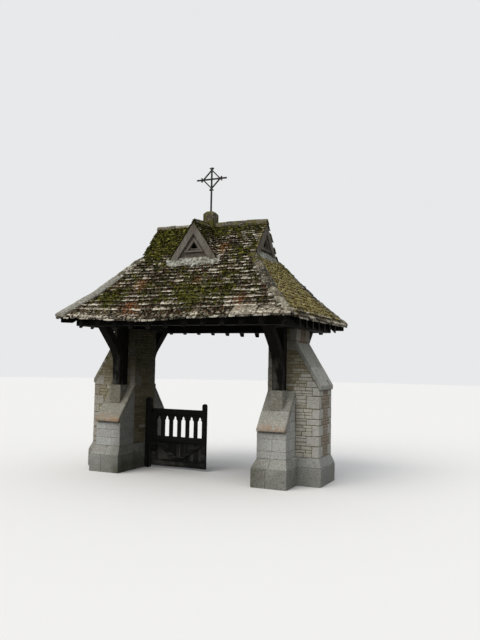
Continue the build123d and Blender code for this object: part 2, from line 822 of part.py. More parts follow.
def hip_cappings():
    """Bedded cappings that cover the joint of the slates along each hip."""
    reach = HIP_CAPPING_WIDTH / 2 / sqrt(2)
    head = RIDGE_HALF_LENGTH - HIP_OFFSET
    with BuildPart() as cappings:
        for side in SIDES.values():
            for face in FACES.values():
                strip = [
                    (head + HIP_OFFSET + reach, head - reach),
                    (EAVE_X + reach, EAVE_Y - reach),
                    (EAVE_X - reach, EAVE_Y + reach),
                    (head + HIP_OFFSET - reach, head + reach),
                ]
                prism(Plane.XY, [(side * x, face * y) for x, y in strip], HIGH)
        add(roof_body(HIP_CAPPING_THICKNESS), mode=Mode.INTERSECT)
        add(roof_body(0), mode=Mode.SUBTRACT)
        box_at(
            (-RIDGE_HALF_LENGTH, RIDGE_HALF_LENGTH),
            (-EAVE_Y, EAVE_Y),
            (0, HIGH),
            Mode.SUBTRACT,
        )
    return cappings.part


def finial_block():
    """The stone block that sits astride the crossing of the ridges."""
    half = FINIAL_SIZE / 2
    top_half = half - FINIAL_SLOPE
    shoulder = FINIAL_TOP - FINIAL_SLOPE
    base = RIDGE_TOP - half * ROOF_SLOPE
    with BuildPart() as finial:
        block((-half, -half, base), (half, half, shoulder))
        with BuildSketch(Plane.XY.offset(shoulder)) as lower:
            Rectangle(FINIAL_SIZE, FINIAL_SIZE)
        with BuildSketch(Plane.XY.offset(FINIAL_TOP)) as upper:
            Rectangle(2 * top_half, 2 * top_half)
        loft([lower.sketch, upper.sketch], ruled=True)
        for plane, slope in ((Plane.YZ, ROOF_SLOPE), (Plane.XZ, GABLET_SLOPE)):
            low = RIDGE_TOP - FINIAL_SIZE * slope
            ridge = [(-FINIAL_SIZE, low), (FINIAL_SIZE, low), (0, RIDGE_TOP)]
            prism(plane, ridge, FINIAL_SIZE, Mode.SUBTRACT, both=True)
    return finial.part


def iron_cross():
    """A wrought cross of square bar, with a diamond of four lighter crossing bars."""
    bar_length = DIAMOND_HALF * sqrt(2) + 2 * DIAMOND_OVERSHOOT
    quarter = DIAMOND_HALF / 2
    with BuildPart() as cross:
        with BuildSketch(Plane.XZ):
            with Locations((0, (FINIAL_TOP + CROSS_TOP) / 2)):
                Rectangle(CROSS_BAR, CROSS_TOP - FINIAL_TOP)
            with Locations((0, CROSS_ARM_HEIGHT)):
                Rectangle(2 * CROSS_HALF_ARM, CROSS_BAR)
            for along in (-1, 1):
                for up in (-1, 1):
                    with Locations((along * quarter, CROSS_ARM_HEIGHT + up * quarter)):
                        Rectangle(bar_length, DIAMOND_BAR, rotation=-45 * along * up)
        extrude(amount=CROSS_BAR / 2, both=True)
    return cross.part


for name, face in FACES.items():
    save(long_slope(face), f"{name}_roof_slope")
    save(gablet_roof(face), f"{name}_gablet_roof")
for name, side in SIDES.items():
    save(end_slope(side), f"{name}_roof_slope")
save(gablet_panels(), "gablet_panels")
save(cross_bargeboards(), "cross_bargeboards")
save(end_bargeboards(), "end_bargeboards")
save(gablet_aprons(), "gablet_aprons")
save(ridge_stones(), "ridge_stones")
save(hip_cappings(), "hip_cappings")
save(finial_block(), "finial_block")
save(iron_cross(), "iron_cross")


# Gates

def leaf_plane(side):
    """The leaf's own upright plane: its origin on the hinge axis, its first axis along the leaf."""
    angle = radians(0 if side < 0 else 180 - OPEN_ANGLE)
    return Plane(
        origin=(side * HINGE_X, HINGE_Y, 0),
        x_dir=(cos(angle), sin(angle), 0),
        z_dir=(sin(angle), -cos(angle), 0),
    )


def leaf_prism(side, points, rear, thickness, mode=Mode.ADD):
    """A prism in the leaf, from a distance in front of the hinge axis towards its front."""
    prism(leaf_plane(side).offset(-side * rear), points, -side * thickness, mode)


def rectangle(u, v):
    return [(u[0], v[0]), (u[1], v[0]), (u[1], v[1]), (u[0], v[1])]


def leaf_frame(side):
    """Stiles and rails framed together, with a round-headed latch stile."""
    bottom = GATE_GROUND_GAP
    head = STILE_TOP - LATCH_STILE / 2
    members = [
        rectangle((LEAF_HINGE_GAP, STILE_INNER), (bottom, GATE_TOP)),
        rectangle((LATCH_INNER, LEAF_END), (bottom, head)),
        rectangle((STILE_INNER, LATCH_INNER), (GATE_TOP - TOP_RAIL, GATE_TOP)),
        rectangle((STILE_INNER, LATCH_INNER), (MID_RAIL_TOP - MID_RAIL, MID_RAIL_TOP)),
        rectangle((STILE_INNER, LATCH_INNER), (bottom, bottom + BOTTOM_RAIL)),
    ]
    with BuildPart() as frame:
        for member in members:
            leaf_prism(side, member, HINGE_REAR_GAP, GATE_THICKNESS)
        with BuildSketch(leaf_plane(side).offset(-side * HINGE_REAR_GAP)) as round_head:
            with Locations(((LATCH_INNER + LEAF_END) / 2, head)):
                Circle(LATCH_STILE / 2)
        extrude(round_head.sketch, amount=-side * GATE_THICKNESS)
    return frame.part


def leaf_tracery(side):
    """The pierced panel of pointed openings between the top and middle rails."""
    bar = (LATCH_INNER - STILE_INNER - OPENING_COUNT * OPENING_WIDTH) / (OPENING_COUNT - 1)
    half = OPENING_WIDTH / 2
    rise = OPENING_APEX - OPENING_SPRING
    radius = (half**2 + rise**2) / OPENING_WIDTH
    half_turn = atan2(rise, radius - half) / 2
    bulge = half - radius + radius * cos(half_turn)
    haunch = OPENING_SPRING + radius * sin(half_turn)
    rear = HINGE_REAR_GAP + (GATE_THICKNESS - TRACERY_THICKNESS) / 2
    plate = rectangle((STILE_INNER, LATCH_INNER), (MID_RAIL_TOP, GATE_TOP - TOP_RAIL))
    with BuildPart() as tracery:
        leaf_prism(side, plate, rear, TRACERY_THICKNESS)
        with BuildSketch(leaf_plane(side).offset(-side * rear)) as openings:
            for i in range(OPENING_COUNT):
                u = STILE_INNER + half + i * (OPENING_WIDTH + bar)
                with BuildLine():
                    apex = (u, OPENING_APEX)
                    ThreePointArc((u + half, OPENING_SPRING), (u + bulge, haunch), apex)
                    ThreePointArc(apex, (u - bulge, haunch), (u - half, OPENING_SPRING))
                    Polyline(
                        (u - half, OPENING_SPRING),
                        (u - half, MID_RAIL_TOP),
                        (u + half, MID_RAIL_TOP),
                        (u + half, OPENING_SPRING),
                    )
                make_face()
        extrude(openings.sketch, amount=-side * TRACERY_THICKNESS, mode=Mode.SUBTRACT)
    return tracery.part


def leaf_boards(side):
    width = (LATCH_INNER - STILE_INNER + BOARD_GAP) / BOARD_COUNT - BOARD_GAP
    rear = HINGE_REAR_GAP + BOARD_INSET
    with BuildPart() as boards:
        for i in range(BOARD_COUNT):
            start = STILE_INNER + i * (width + BOARD_GAP)
            board = rectangle((start, start + width), (BOTTOM_RAIL_TOP, MID_RAIL_TOP - MID_RAIL))
            leaf_prism(side, board, rear, BOARD_THICKNESS)
    return boards.part


def leaf_braces(side):
    """Two diagonal braces in front of the boards, rising from the middle of the bottom rail."""
    middle = (STILE_INNER + LATCH_INNER) / 2
    low, high = BOTTOM_RAIL_TOP, MID_RAIL_TOP - MID_RAIL
    run = LATCH_INNER - middle
    spread = GATE_BRACE_WIDTH / 2 * sqrt(1 + ((high - low) / run) ** 2)
    rear = HINGE_REAR_GAP + BOARD_INSET + BOARD_THICKNESS
    thickness = GATE_THICKNESS - BOARD_INSET - BOARD_THICKNESS - BRACE_INSET
    with BuildPart() as braces:
        for hand in (-1, 1):
            line = [(middle, low), (middle + hand * run, high)]
            upper = [(u, v + spread) for u, v in line]
            lower = [(u, v - spread) for u, v in reversed(line)]
            leaf_prism(side, upper + lower, rear, thickness)
        keep = rectangle((STILE_INNER, LATCH_INNER), (low, high))
        leaf_prism(side, keep, rear, thickness, Mode.INTERSECT)
    return braces.part


def leaf_straps(side):
    """Two iron straps on the back of the leaf, each ending in an eye round its pin."""
    with BuildPart() as straps:
        for height in HINGE_HEIGHTS:
            half = STRAP_WIDTH / 2
            outline = [
                (0, height - half),
                (STRAP_LENGTH - STRAP_WIDTH, height - half * STRAP_TAPER),
                (STRAP_LENGTH, height),
                (STRAP_LENGTH - STRAP_WIDTH, height + half * STRAP_TAPER),
                (0, height + half),
            ]
            leaf_prism(side, outline, HINGE_REAR_GAP - STRAP_THICKNESS, STRAP_THICKNESS)
            with BuildSketch(Plane.XY.offset(height - half)) as eye:
                with Locations((side * HINGE_X, HINGE_Y)):
                    Circle(EYE_RADIUS)
            extrude(eye.sketch, amount=STRAP_WIDTH)
            with BuildSketch(Plane.XY.offset(height - half)) as bore:
                with Locations((side * HINGE_X, HINGE_Y)):
                    Circle(PIN_RADIUS + PIN_CLEARANCE)
            extrude(bore.sketch, amount=STRAP_WIDTH, mode=Mode.SUBTRACT)
    return straps.part


def gate_posts():
    with BuildPart() as posts:
        for side in SIDES.values():
            box_at(
                (side * POST_FACE, side * (POST_FACE + GATE_POST)),
                (-GATE_POST / 2, GATE_POST / 2),
                (0, GATE_POST_HEIGHT),
            )
        tops = posts.faces().sort_by(Axis.Z)[-len(SIDES):]
        chamfer(tops.edges(), GATE_POST_CAP)
    return posts.part


def gate_pintles():
    """Brackets on the backs of the gate posts, with the pins that the gates turn on."""
    plate_middle = POST_FACE + GATE_POST / 2
    plate_rear = GATE_POST / 2 + STRAP_THICKNESS
    with BuildPart() as pintles:
        for side in SIDES.values():
            for height in HINGE_HEIGHTS:
                arm_top = height - STRAP_WIDTH / 2 - EYE_GAP
                arm_middle = arm_top - PINTLE_ARM / 2
                box_at(
                    (
                        side * (plate_middle - PINTLE_PLATE_WIDTH / 2),
                        side * (plate_middle + PINTLE_PLATE_WIDTH / 2),
                    ),
                    (GATE_POST / 2, plate_rear),
                    (arm_middle - PINTLE_PLATE_HEIGHT / 2, arm_middle + PINTLE_PLATE_HEIGHT / 2),
                )
                box_at(
                    (side * (HINGE_X - PIN_RADIUS), side * plate_middle),
                    (plate_rear, HINGE_Y + PIN_RADIUS),
                    (arm_top - PINTLE_ARM, arm_top),
                )
                with BuildSketch(Plane.XY.offset(arm_top)) as pin:
                    with Locations((side * HINGE_X, HINGE_Y)):
                        Circle(PIN_RADIUS)
                extrude(pin.sketch, amount=EYE_GAP + STRAP_WIDTH + PIN_STAND)
    return pintles.part


for name, side in SIDES.items():
    save(leaf_frame(side), f"{name}_gate_frame")
    save(leaf_tracery(side), f"{name}_gate_tracery")
    save(leaf_boards(side), f"{name}_gate_boards")
    save(leaf_braces(side), f"{name}_gate_braces")
    save(leaf_straps(side), f"{name}_gate_straps")
save(gate_posts(), "gate_posts")
save(gate_pintles(), "gate_pintles")
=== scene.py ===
"""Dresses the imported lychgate: stone by stone, slate by slate, with weathered oak and ironwork.

X runs along the road, -Y faces it and Z is up, in metres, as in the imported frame.
"""

from math import cos, pi, radians, sin, sqrt, tan

import bmesh
import bpy
import numpy as np
from mathutils import Matrix, Vector, noise
from mathutils.geometry import tessellate_polygon


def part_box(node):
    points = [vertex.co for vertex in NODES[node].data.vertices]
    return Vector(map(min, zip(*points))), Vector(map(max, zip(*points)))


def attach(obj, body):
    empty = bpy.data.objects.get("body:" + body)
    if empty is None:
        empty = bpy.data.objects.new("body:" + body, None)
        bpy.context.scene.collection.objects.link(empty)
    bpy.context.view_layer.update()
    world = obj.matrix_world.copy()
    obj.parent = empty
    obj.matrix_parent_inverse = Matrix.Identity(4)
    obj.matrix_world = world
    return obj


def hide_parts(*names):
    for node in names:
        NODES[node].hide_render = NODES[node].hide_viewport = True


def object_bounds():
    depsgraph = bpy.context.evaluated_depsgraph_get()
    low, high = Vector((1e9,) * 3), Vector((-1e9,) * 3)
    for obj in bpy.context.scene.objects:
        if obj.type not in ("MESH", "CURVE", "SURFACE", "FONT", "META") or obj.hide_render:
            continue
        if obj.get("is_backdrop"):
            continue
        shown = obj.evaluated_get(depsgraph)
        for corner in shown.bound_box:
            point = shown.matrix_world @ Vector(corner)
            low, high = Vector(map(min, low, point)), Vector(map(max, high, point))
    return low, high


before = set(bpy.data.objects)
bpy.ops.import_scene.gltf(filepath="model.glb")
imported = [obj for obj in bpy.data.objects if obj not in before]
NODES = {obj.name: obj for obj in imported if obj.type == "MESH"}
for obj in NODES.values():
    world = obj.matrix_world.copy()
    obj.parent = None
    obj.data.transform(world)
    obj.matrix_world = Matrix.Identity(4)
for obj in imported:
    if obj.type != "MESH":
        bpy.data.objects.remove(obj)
cad_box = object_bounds()

# Seeds of the smooth noise and of each kind of random draw, so that every run gives the same
SEEDS = {
    "smooth_noise": 5, "slates": 11, "boards": 5, "hips": 17, "ridges": 29, "aprons": 41, "moss": 53,
    "left_pier": 34, "right_pier": 21, "left_buttress": 13, "right_buttress": 8,
    "left_plinth": 4, "right_plinth": 3, "copings": 61,
}
noise.seed_set(SEEDS["smooth_noise"])

# Boxes read from the frame
ROOF_LOW, ROOF_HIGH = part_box("front_roof_slope")
PIER_LOW, PIER_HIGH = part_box("right_pier")
BUTTRESS_LOW, BUTTRESS_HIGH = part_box("right_front_buttress")
COPING_LOW, COPING_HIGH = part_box("right_coping")
PLINTH_LOW, PLINTH_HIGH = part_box("right_plinth")
LIP_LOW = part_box("lower_weatherings")[0]
PANEL_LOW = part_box("gablet_panels")[0]

# Shape of the roof
EAVE_X, EAVE_Y = ROOF_HIGH.x, -ROOF_LOW.y
RIDGE_TOP = ROOF_HIGH.z
COVERING = 0.075
EAVE_TOP = ROOF_LOW.z + COVERING
FOOT_RUN = 0.4
FOOT_ANGLE, ROOF_ANGLE, GABLET_ANGLE = radians(41), radians(49.5), radians(56)
KNEE = FOOT_RUN / cos(FOOT_ANGLE)
KNEE_BLEND = 0.16
VERGE_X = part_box("end_bargeboards")[1].x + 0.006
HIP_HEAD = EAVE_X - VERGE_X
GABLE_WALL = 1.0
GABLET_FACE = 0.571
GABLET_HALF = GABLET_FACE * tan(ROOF_ANGLE) / tan(GABLET_ANGLE)
GABLET_VERGE = -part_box("front_gablet_roof")[0].y
GABLET_BASE = RIDGE_TOP - GABLET_FACE * tan(ROOF_ANGLE)
FINIAL_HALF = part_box("finial_block")[1].x
INWARD = {"front": (0, 1), "rear": (0, -1), "left": (1, 0), "right": (-1, 0)}

# How far the old roof has sunk, and where
EAVE_DROP, SAG_DEPTH = 0.020, 0.060
SAG_MIDDLE, SAG_REACH, SAG_RUN = -0.38, 0.85, 0.5
RIDGE_SAG = 0.03

# Slates: outline across and up, how ragged each point is, and the inset and height of three such rings
SLATE_ACROSS = np.array([0.0, 0.06, 0.35, 0.68, 0.94, 1.0, 0.97, 0.03])
SLATE_UP = np.array([0.10, 0.0, 0.0, 0.0, 0.0, 0.10, 1.0, 1.0])
SLATE_RAGGED = np.array([1, 1, 1, 1, 1, 1, 0.2, 0.2])
SLATE_RINGS = ((0.004, 0.0), (0.0, 0.75), (0.006, 1.0))
SLATE_GAP = 0.0025
NARROWEST_SLATE = 0.025
HIP_GAP, VALLEY_LAP = 0.012, 0.015

# Height of the courses and width of the slates, each at the eave and at the top
LONG_COURSES = (0.105, 0.047), (0.17, 0.085)
END_COURSES = (0.105, 0.06), (0.17, 0.10)
GABLET_COURSES = (0.06, 0.048), (0.11, 0.09)
SLAB_GAUGE = (0.16, 0.19)
SLABS_FROM = 1.02
BOARD_THICKNESS, BOARD_WIDTH = 0.012, 0.16

# Cappings, hip rubble and aprons
CAPPING_ACROSS = np.array([-1.0, -0.8, -0.4, 0.0, 0.4, 0.8, 1.0])
CAPPING_CROWN = np.array([0.1, 0.75, 1.0, 0.85, 1.0, 0.75, 0.1])
CAPPING_STEP = 0.022
BEDDED = -0.02
HIP_STONE_LENGTH = (0.05, 0.10)
RUBBLE_COUNT, RUBBLE_REACH = 120, 0.15
APRON_COLUMNS, APRON_ROWS = 70, 5
APRON_LIFTS = (0.016, 0.014, 0.012, 0.009, 0.001)

# Moss and rust: the middle, radius and strength of each patch
MOSS_TRIES = (1500, 1500, 500, 1100)
MOSS_PATCHES = (
    (-1.17, -1.19, 2.78, 0.28, 0.5),
    (0.12, -1.21, 2.75, 0.35, 0.4),
    (0.9, -0.5, 3.6, 0.25, 0.15),
    (-0.75, -0.3, 3.9, 0.4, 0.4),
    (0.6, -1.1, 2.9, 0.35, 0.3),
    (1.68, -0.98, 2.85, 0.22, -0.3),
    (1.45, -0.3, 3.05, 0.3, -0.12),
)
WARM_PATCHES = (
    (-0.75, -0.97, 3.04, 0.13, 0.9),
    (-0.71, -1.30, 2.65, 0.13, 0.9),
    (0.43, -0.42, 3.68, 0.12, 1.0),
    (0.25, -0.93, 3.09, 0.10, 0.8),
    (1.13, -1.24, 2.73, 0.12, 0.7),
    (-1.25, -0.9, 3.05, 0.12, 0.5),
    (1.68, -0.98, 2.85, 0.22, 0.6),
    (1.45, -0.3, 3.05, 0.3, 0.5),
    (1.7, 0.4, 2.9, 0.25, 0.5),
    (0.7, 1.1, 2.9, 0.2, 0.7),
)

# Masonry: faces and levels of the piers, then the stones, their courses and their mean lengths
PIER_IN, PIER_OUT, WING_FACE = PIER_LOW.x, BUTTRESS_HIGH.x, PIER_HIGH.x
PIER_FACE, PIER_HEIGHT = PIER_HIGH.y, PIER_HIGH.z
BUTTRESS_FACE, BED_TOP = -BUTTRESS_LOW.y, BUTTRESS_HIGH.z
LIP_FACE, LIP_BOTTOM = -LIP_LOW.y, LIP_LOW.z
BED_SLOPE = (BED_TOP - LIP_BOTTOM) / (BUTTRESS_FACE - PIER_FACE)
STONE_JOINT = 0.565
WING_HEIGHT, WING_TOP = COPING_LOW.z, 2.04
WING_SLOPE = (WING_TOP - WING_HEIGHT) / (WING_FACE - PIER_OUT)
COPING_REACH, COPING_THICKNESS = COPING_HIGH.x, 0.060
PLINTH_TOP = PLINTH_HIGH.z
PLINTH_SHOULDER = PLINTH_TOP - 0.141
PLINTH_SIDE = PIER_IN - PLINTH_LOW.x
PLINTH_FRONT = -PLINTH_LOW.y - BUTTRESS_FACE
PLINTH_SPLIT, PLINTH_CORE = 0.52, 0.2
PROUD, JOINT, FINE_JOINT = 0.004, 0.005, 0.0015
STONE_DEPTH = (0.07, 0.09)
COURSE, QUOIN_COURSE = 0.052, 0.155
RUBBLE_LENGTH, PASSAGE_LENGTH, RETURN_LENGTH, COPING_LENGTH = 0.17, 0.20, 0.24, 0.16
LOWER_BLOCKS, UPPER_BLOCKS = 0.132, 0.125
QUOIN_LONG, QUOIN_SHORT, QUOIN_BEVEL = 0.20, 0.11, 0.008
BLOCK_LONG, BLOCK_SHORT = 0.27, 0.15

# Timber and ironwork, the hip rafters' feet cut level just below the slates
HIP_FOOT = ROOF_LOW.z - 0.06
VENT_HEIGHT, VENT_SILL = 0.132, 0.18
LOBE, PLATE_HALF = VENT_HEIGHT * 0.22, VENT_HEIGHT * 1.75 / 2.6
OUTER_RISE, OUTER_DEPTH, OUTER_FRONT = 0.150, 0.04, 0.013
INNER_RISE, INNER_DEPTH, INNER_FRONT = 0.062, 0.038, 0.020
INNER_FOOT, LEDGE_TOP, LEDGE_FOOT, LEDGE_FRONT = 0.035, 0.034, 0.062, 0.026
OPENINGS, OPENING_WIDTH = 6, 0.096
OPENING_FOOT, OPENING_SPRING, OPENING_APEX = 0.012, 0.800, 0.905
STRAP, BOLTS, BOLT_INSET, BOLT_SIDES = 0.006, 4, 0.02, 10
BOLT_PROFILE = ((0.010, -0.002), (0.010, 0.002), (0.008, 0.005), (0.004, 0.0068))

# Stage, light and camera
FLOOR_SEEN, FLOOR_BOUNCE, FLOOR_RADIUS = (226, 224, 220), (78, 76, 70), 60
BACKDROP, SKY_COLOUR = (232, 233, 234), (240, 244, 250)
SKY_LOW, SKY_HIGH = 0.15, 1.15
SUN_STRENGTH, SUN_SPREAD, SUN_COLOUR = 1.9, radians(50), (1.0, 0.98, 0.95)
SUN_DIRECTION = (0.45, 0.75, -0.9)
CAMERA_PLACE, CAMERA_LENS = (4.913, -9.683, 1.810), 36.22
CAMERA_YAW, CAMERA_PITCH, CAMERA_ROLL = 24.109, 3.872, 1.079

# Oak, from its darkest streaks to its palest
DARK_OAK = ((10, 9, 7), (20, 18, 15), (32, 29, 24), (50, 47, 40))
# SHADED_OAK is painted shade: a darker copy of the oak for the timbers under the roof
SHADED_OAK = ((5, 4, 3), (9, 8, 6), (14, 12, 10), (24, 21, 17))
GATE_OAK = ((9, 9, 8), (18, 18, 16), (29, 29, 27), (46, 46, 43))
GREY_OAK = ((72, 66, 58), (110, 102, 92), (142, 135, 124), (168, 162, 151))
PANEL_OAK = ((50, 44, 38), (80, 72, 64), (108, 100, 90), (134, 126, 115))
BOARD_OAK = ((12, 10, 7), (22, 18, 13), (36, 31, 24))

VALUES = ("tone", "edge", "moss", "warm", "damp", "ochre")


def linear(colour):
    """A screen colour, three numbers from 0 to 255, in Blender's linear values."""
    parts = [c / 255 for c in colour]
    return (*[c / 12.92 if c <= 0.04045 else ((c + 0.055) / 1.055) ** 2.4 for c in parts], 1)


def smooth(low, high, value):
    """0 below low, 1 above high and a smooth step between them."""
    share = np.clip((value - low) / (high - low), 0, 1)
    return share * share * (3 - 2 * share)


# Materials

class Term:
    """A value in a node tree, with plain arithmetic."""

    def __init__(self, nodes, socket):
        self.nodes, self.socket = nodes, socket

    def __add__(self, other):
        return self.nodes.math("ADD", self, other)

    def __sub__(self, other):
        return self.nodes.math("SUBTRACT", self, other)

    def __rsub__(self, other):
        return self.nodes.math("SUBTRACT", other, self)

    def __mul__(self, other):
        return self.nodes.math("MULTIPLY", self, other)


class Nodes:
    """Builds one node tree, its colours given as screen colours."""

    def __init__(self, tree):
        self.tree = tree

    def feed(self, socket, value):
        """Links a term to a socket, or sets the socket to a constant."""
        if isinstance(value, Term):
            self.tree.links.new(value.socket, socket)
        else:
            socket.default_value = linear(value) if socket.type == "RGBA" else value

    def node(self, kind, inputs=(), output=0, **settings):
        made = self.tree.nodes.new("ShaderNode" + kind)
        for key, value in settings.items():
            setattr(made, key, value)
        for key, value in dict(inputs).items():
            self.feed(made.inputs[key], value)
        return Term(self, made.outputs[output])

    def math(self, operation, first, second):
        return self.node("Math", {0: first, 1: second}, operation=operation)

    def mix(self, share, first, second):
        return self.node("Mix", {0: share, 6: first, 7: second}, 2, data_type="RGBA")

    def seen(self):
        """1 for what the camera, a mirror or glass looks at directly, and 0 for the rest."""
        found = self.node("LightPath").socket.node.outputs
        rays = [Term(self, found[f"Is {kind} Ray"]) for kind in ("Camera", "Glossy", "Transmission")]
        return self.math("MAXIMUM", self.math("MAXIMUM", rays[0], rays[1]), rays[2])


class Shader(Nodes):
    """Builds one material around its Principled BSDF."""

    def __init__(self, name, roughness=0.9, metallic=0.0, specular=0.3):
        self.material = bpy.data.materials.new(name)
        self.material.use_nodes = True
        super().__init__(self.material.node_tree)
        self.bsdf = self.tree.nodes["Principled BSDF"].inputs
        self.bsdf["Roughness"].default_value = roughness
        self.bsdf["Metallic"].default_value = metallic
        self.bsdf["Specular IOR Level"].default_value = specular
        self.place = self.node("TexCoord", output="Object")

    def noise(self, scale, detail=4.0, place=None, distortion=0.0):
        inputs = {"Vector": place or self.place, "Scale": scale, "Detail": detail,
                  "Roughness": 0.6, "Distortion": distortion}
        return self.node("TexNoise", inputs)

    def value(self, name):
        return self.node("Attribute", output="Fac", attribute_name=name)

    def step(self, value, low, high):
        inputs = {"Value": value, "From Min": low, "From Max": high}
        return self.node("MapRange", inputs, interpolation_type="SMOOTHSTEP")

    def ramp(self, value, colours):
        made = self.node("ValToRGB", {"Fac": value})
        stops = made.socket.node.color_ramp.elements
        stops[0].color, stops[-1].color = linear(colours[0]), linear(colours[-1])
        for i, colour in enumerate(colours[1:-1], 1):
            stops.new(i / (len(colours) - 1)).color = linear(colour)
        return made

    def height(self):
        """The height above the ground of each point at rest."""
        return self.node("SeparateXYZ", {0: self.place}, "Z")

    def finish(self, colour, bump, strength, distance):
        self.feed(self.bsdf["Base Color"], colour)
        self.feed(self.bsdf["Normal"], self.node("Bump", {"Height": bump, "Strength": strength,
                                                          "Distance": distance}))
        return self.material


def stone_material(name, colours, speckle, green=0.5, grain=6.0, contrast=0.6):
    """Weathered limestone: a colour per stone, lichen specks, green dampness that also stands for painted
    shade under the eaves, and dark stains.
    """
    s = Shader(name, specular=0.15)
    colour = s.ramp(s.value("tone") + (s.noise(grain, 6.0) - 0.5) * contrast, colours)
    grit = s.noise(42.0, 8.0)
    dark = 1.0 - s.step(grit, 0.34, 0.52)
    colour = s.mix(dark * (speckle * 0.7), colour, (84, 77, 60))
    pale = s.step(grit, 0.50, 0.66) * s.step(s.noise(2.3), 0.3, 0.55)
    colour = s.mix(pale * (speckle * 1.1), colour, (212, 209, 199))
    stain = s.value("warm") * s.step(s.noise(14.0, 5.0), 0.3, 0.7)
    colour = s.mix(stain * 0.75, colour, (172, 134, 98))
    low = 1.0 - s.step(s.height(), 0.0, 0.6)
    # Green dampness near the ground and on the passage faces, and painted shade in the same colour under the
    # eaves
    wet_and_shaded = (s.value("damp") * 0.9 + low * 0.4) * (s.noise(3.5, 5.0) * 0.9 + 0.35)
    colour = s.mix(wet_and_shaded * (green * 1.6), colour, (64, 63, 42))
    moss = s.step(s.noise(9.0, 6.0) + s.value("moss") * 0.5, 0.72, 0.84)
    colour = s.mix(moss, colour, (84, 80, 34))
    return s.finish(colour, s.noise(45.0, 6.0) + s.noise(12.0) * 1.6, 0.8, 0.006)


def slate_material():
    """Dark stone slates with pale tails, partly lichen and partly painted highlight, painted shade under the
    laps and under each tail, moss and rusty patches.
    """
    s = Shader("stone_slate", specular=0.05)
    tone = s.value("tone") + (s.noise(13.0, 6.0) - 0.5) * 0.9
    colour = s.ramp(tone, ((4, 3, 1), (15, 11, 4), (34, 28, 15), (84, 75, 57), (146, 138, 123)))
    pits = 1.0 - s.step(s.noise(27.0, 5.0), 0.40, 0.48)
    colour = s.mix(pits * 0.8, colour, (5, 4, 1))
    flecks = s.step(s.noise(31.0, 5.0), 0.55, 0.61) * (s.step(s.noise(7.0), 0.4, 0.6) * 0.5 + 0.3)
    colour = s.mix(flecks, colour, (162, 151, 124))
    along = s.value("edge") + (s.noise(22.0, 5.0) - 0.5) * 1.6
    # Pale tails: partly lichen, partly painted highlight where the tails catch the light, mostly on pale
    # slates
    tails = (1.0 - s.step(along, 0.1, 0.36)) * (s.step(tone, 0.28, 0.6) * 0.85 + 0.12)
    colour = s.mix(tails, colour, (213, 205, 186))
    # Painted shade, near black, where a slate runs under the course above and on the underside of each tail
    colour = s.mix(s.step(along, 0.5, 0.95) * 0.9, colour, (6, 4, 1))
    warm = s.noise(40.0) + s.value("warm") * 0.2
    colour = s.mix(s.step(warm, 0.58, 0.67) * 0.8, colour, (138, 87, 51))
    patch = s.noise(4.5, 3.0) * 0.45 + s.noise(30.0, 5.0) * 0.55
    moss = s.step(patch + s.value("moss") * 0.3, 0.59, 0.67)
    lump = s.noise(26.0, 5.0) * 2.6 - 0.86
    colour = s.mix(moss * 0.92, colour, moss_colour(s, lump))
    return s.finish(colour, s.noise(42.0, 6.0) + moss * s.noise(90.0, 3.0), 1.0, 0.012)


def moss_colour(s, tone):
    """Olive moss, turning to ochre where the sun dries it."""
    green = s.ramp(tone, ((6, 7, 2), (34, 35, 9), (84, 82, 26), (148, 142, 72)))
    dry = s.ramp(tone, ((20, 16, 4), (122, 109, 50), (200, 187, 122), (236, 229, 194)))
    dry = s.mix(s.step(s.noise(17.0, 6.0), 0.5, 0.6) * 0.75, dry, (104, 80, 54))
    dry = s.mix(s.step(s.noise(36.0, 5.0), 0.58, 0.63) * 0.8, dry, (206, 196, 168))
    share = s.value("ochre") * (s.noise(12.0) * 1.5 + 0.15)
    return s.mix(s.step(share, 0.2, 0.9), green, dry)


def moss_material():
    s = Shader("moss", roughness=1.0, specular=0.03)
    tone = s.value("tone") + (s.noise(34.0) - 0.5) * 1.5
    return s.finish(moss_colour(s, tone), s.noise(140.0, 5.0), 1.0, 0.012)


def timber_material(name, grain, colours, weather, wear_and_highlight_below=None):
    """Oak with its grain along one direction, and grey where weather has worn it. Given a height, the grey is
    kept below it, partly weathering and partly painted highlight.
    """
    s = Shader(name, roughness=0.85, specular=0.1)
    direction = Vector(grain).normalized()
    along = s.node("VectorMath", {0: s.place, 1: direction}, "Value", operation="DOT_PRODUCT")
    squeeze = s.node("VectorMath", {0: direction, "Scale": along * -0.95}, operation="SCALE")
    place = s.node("VectorMath", {0: s.place, 1: squeeze}, operation="ADD")
    streak = s.noise(60.0, 6.0, place, 0.4)
    broad = s.noise(9.0, 4.0, place)
    colour = s.ramp(streak * 0.75 + (broad * 0.9 - 0.4), colours)
    silver = s.step(broad + s.noise(3.0) * 0.6, 0.72, 0.98)
    # Grey low ends: partly weathering, partly painted highlight
    if wear_and_highlight_below is not None:
        low = 1.0 - s.step(s.height(), wear_and_highlight_below - 0.35, wear_and_highlight_below)
        silver = silver * (low * 0.95 + 0.05)
    grey = s.ramp(streak, ((60, 58, 54), (118, 116, 108), (150, 146, 136)))
    colour = s.mix(silver * weather, colour, grey)
    cracks = s.step(s.noise(110.0, 2.0, place), 0.60, 0.68)
    colour = s.mix(cracks * 0.6, colour, (18, 16, 13))
    return s.finish(colour, streak - cracks * 0.8, 0.7, 0.003)


def iron_material():
    s = Shader("wrought_iron", roughness=0.62, metallic=0.35, specular=0.4)
    colour = s.mix(s.step(s.noise(22.0, 6.0), 0.55, 0.72), (28, 27, 27), (66, 40, 26))
    return s.finish(colour, s.noise(70.0, 5.0), 0.5, 0.002)


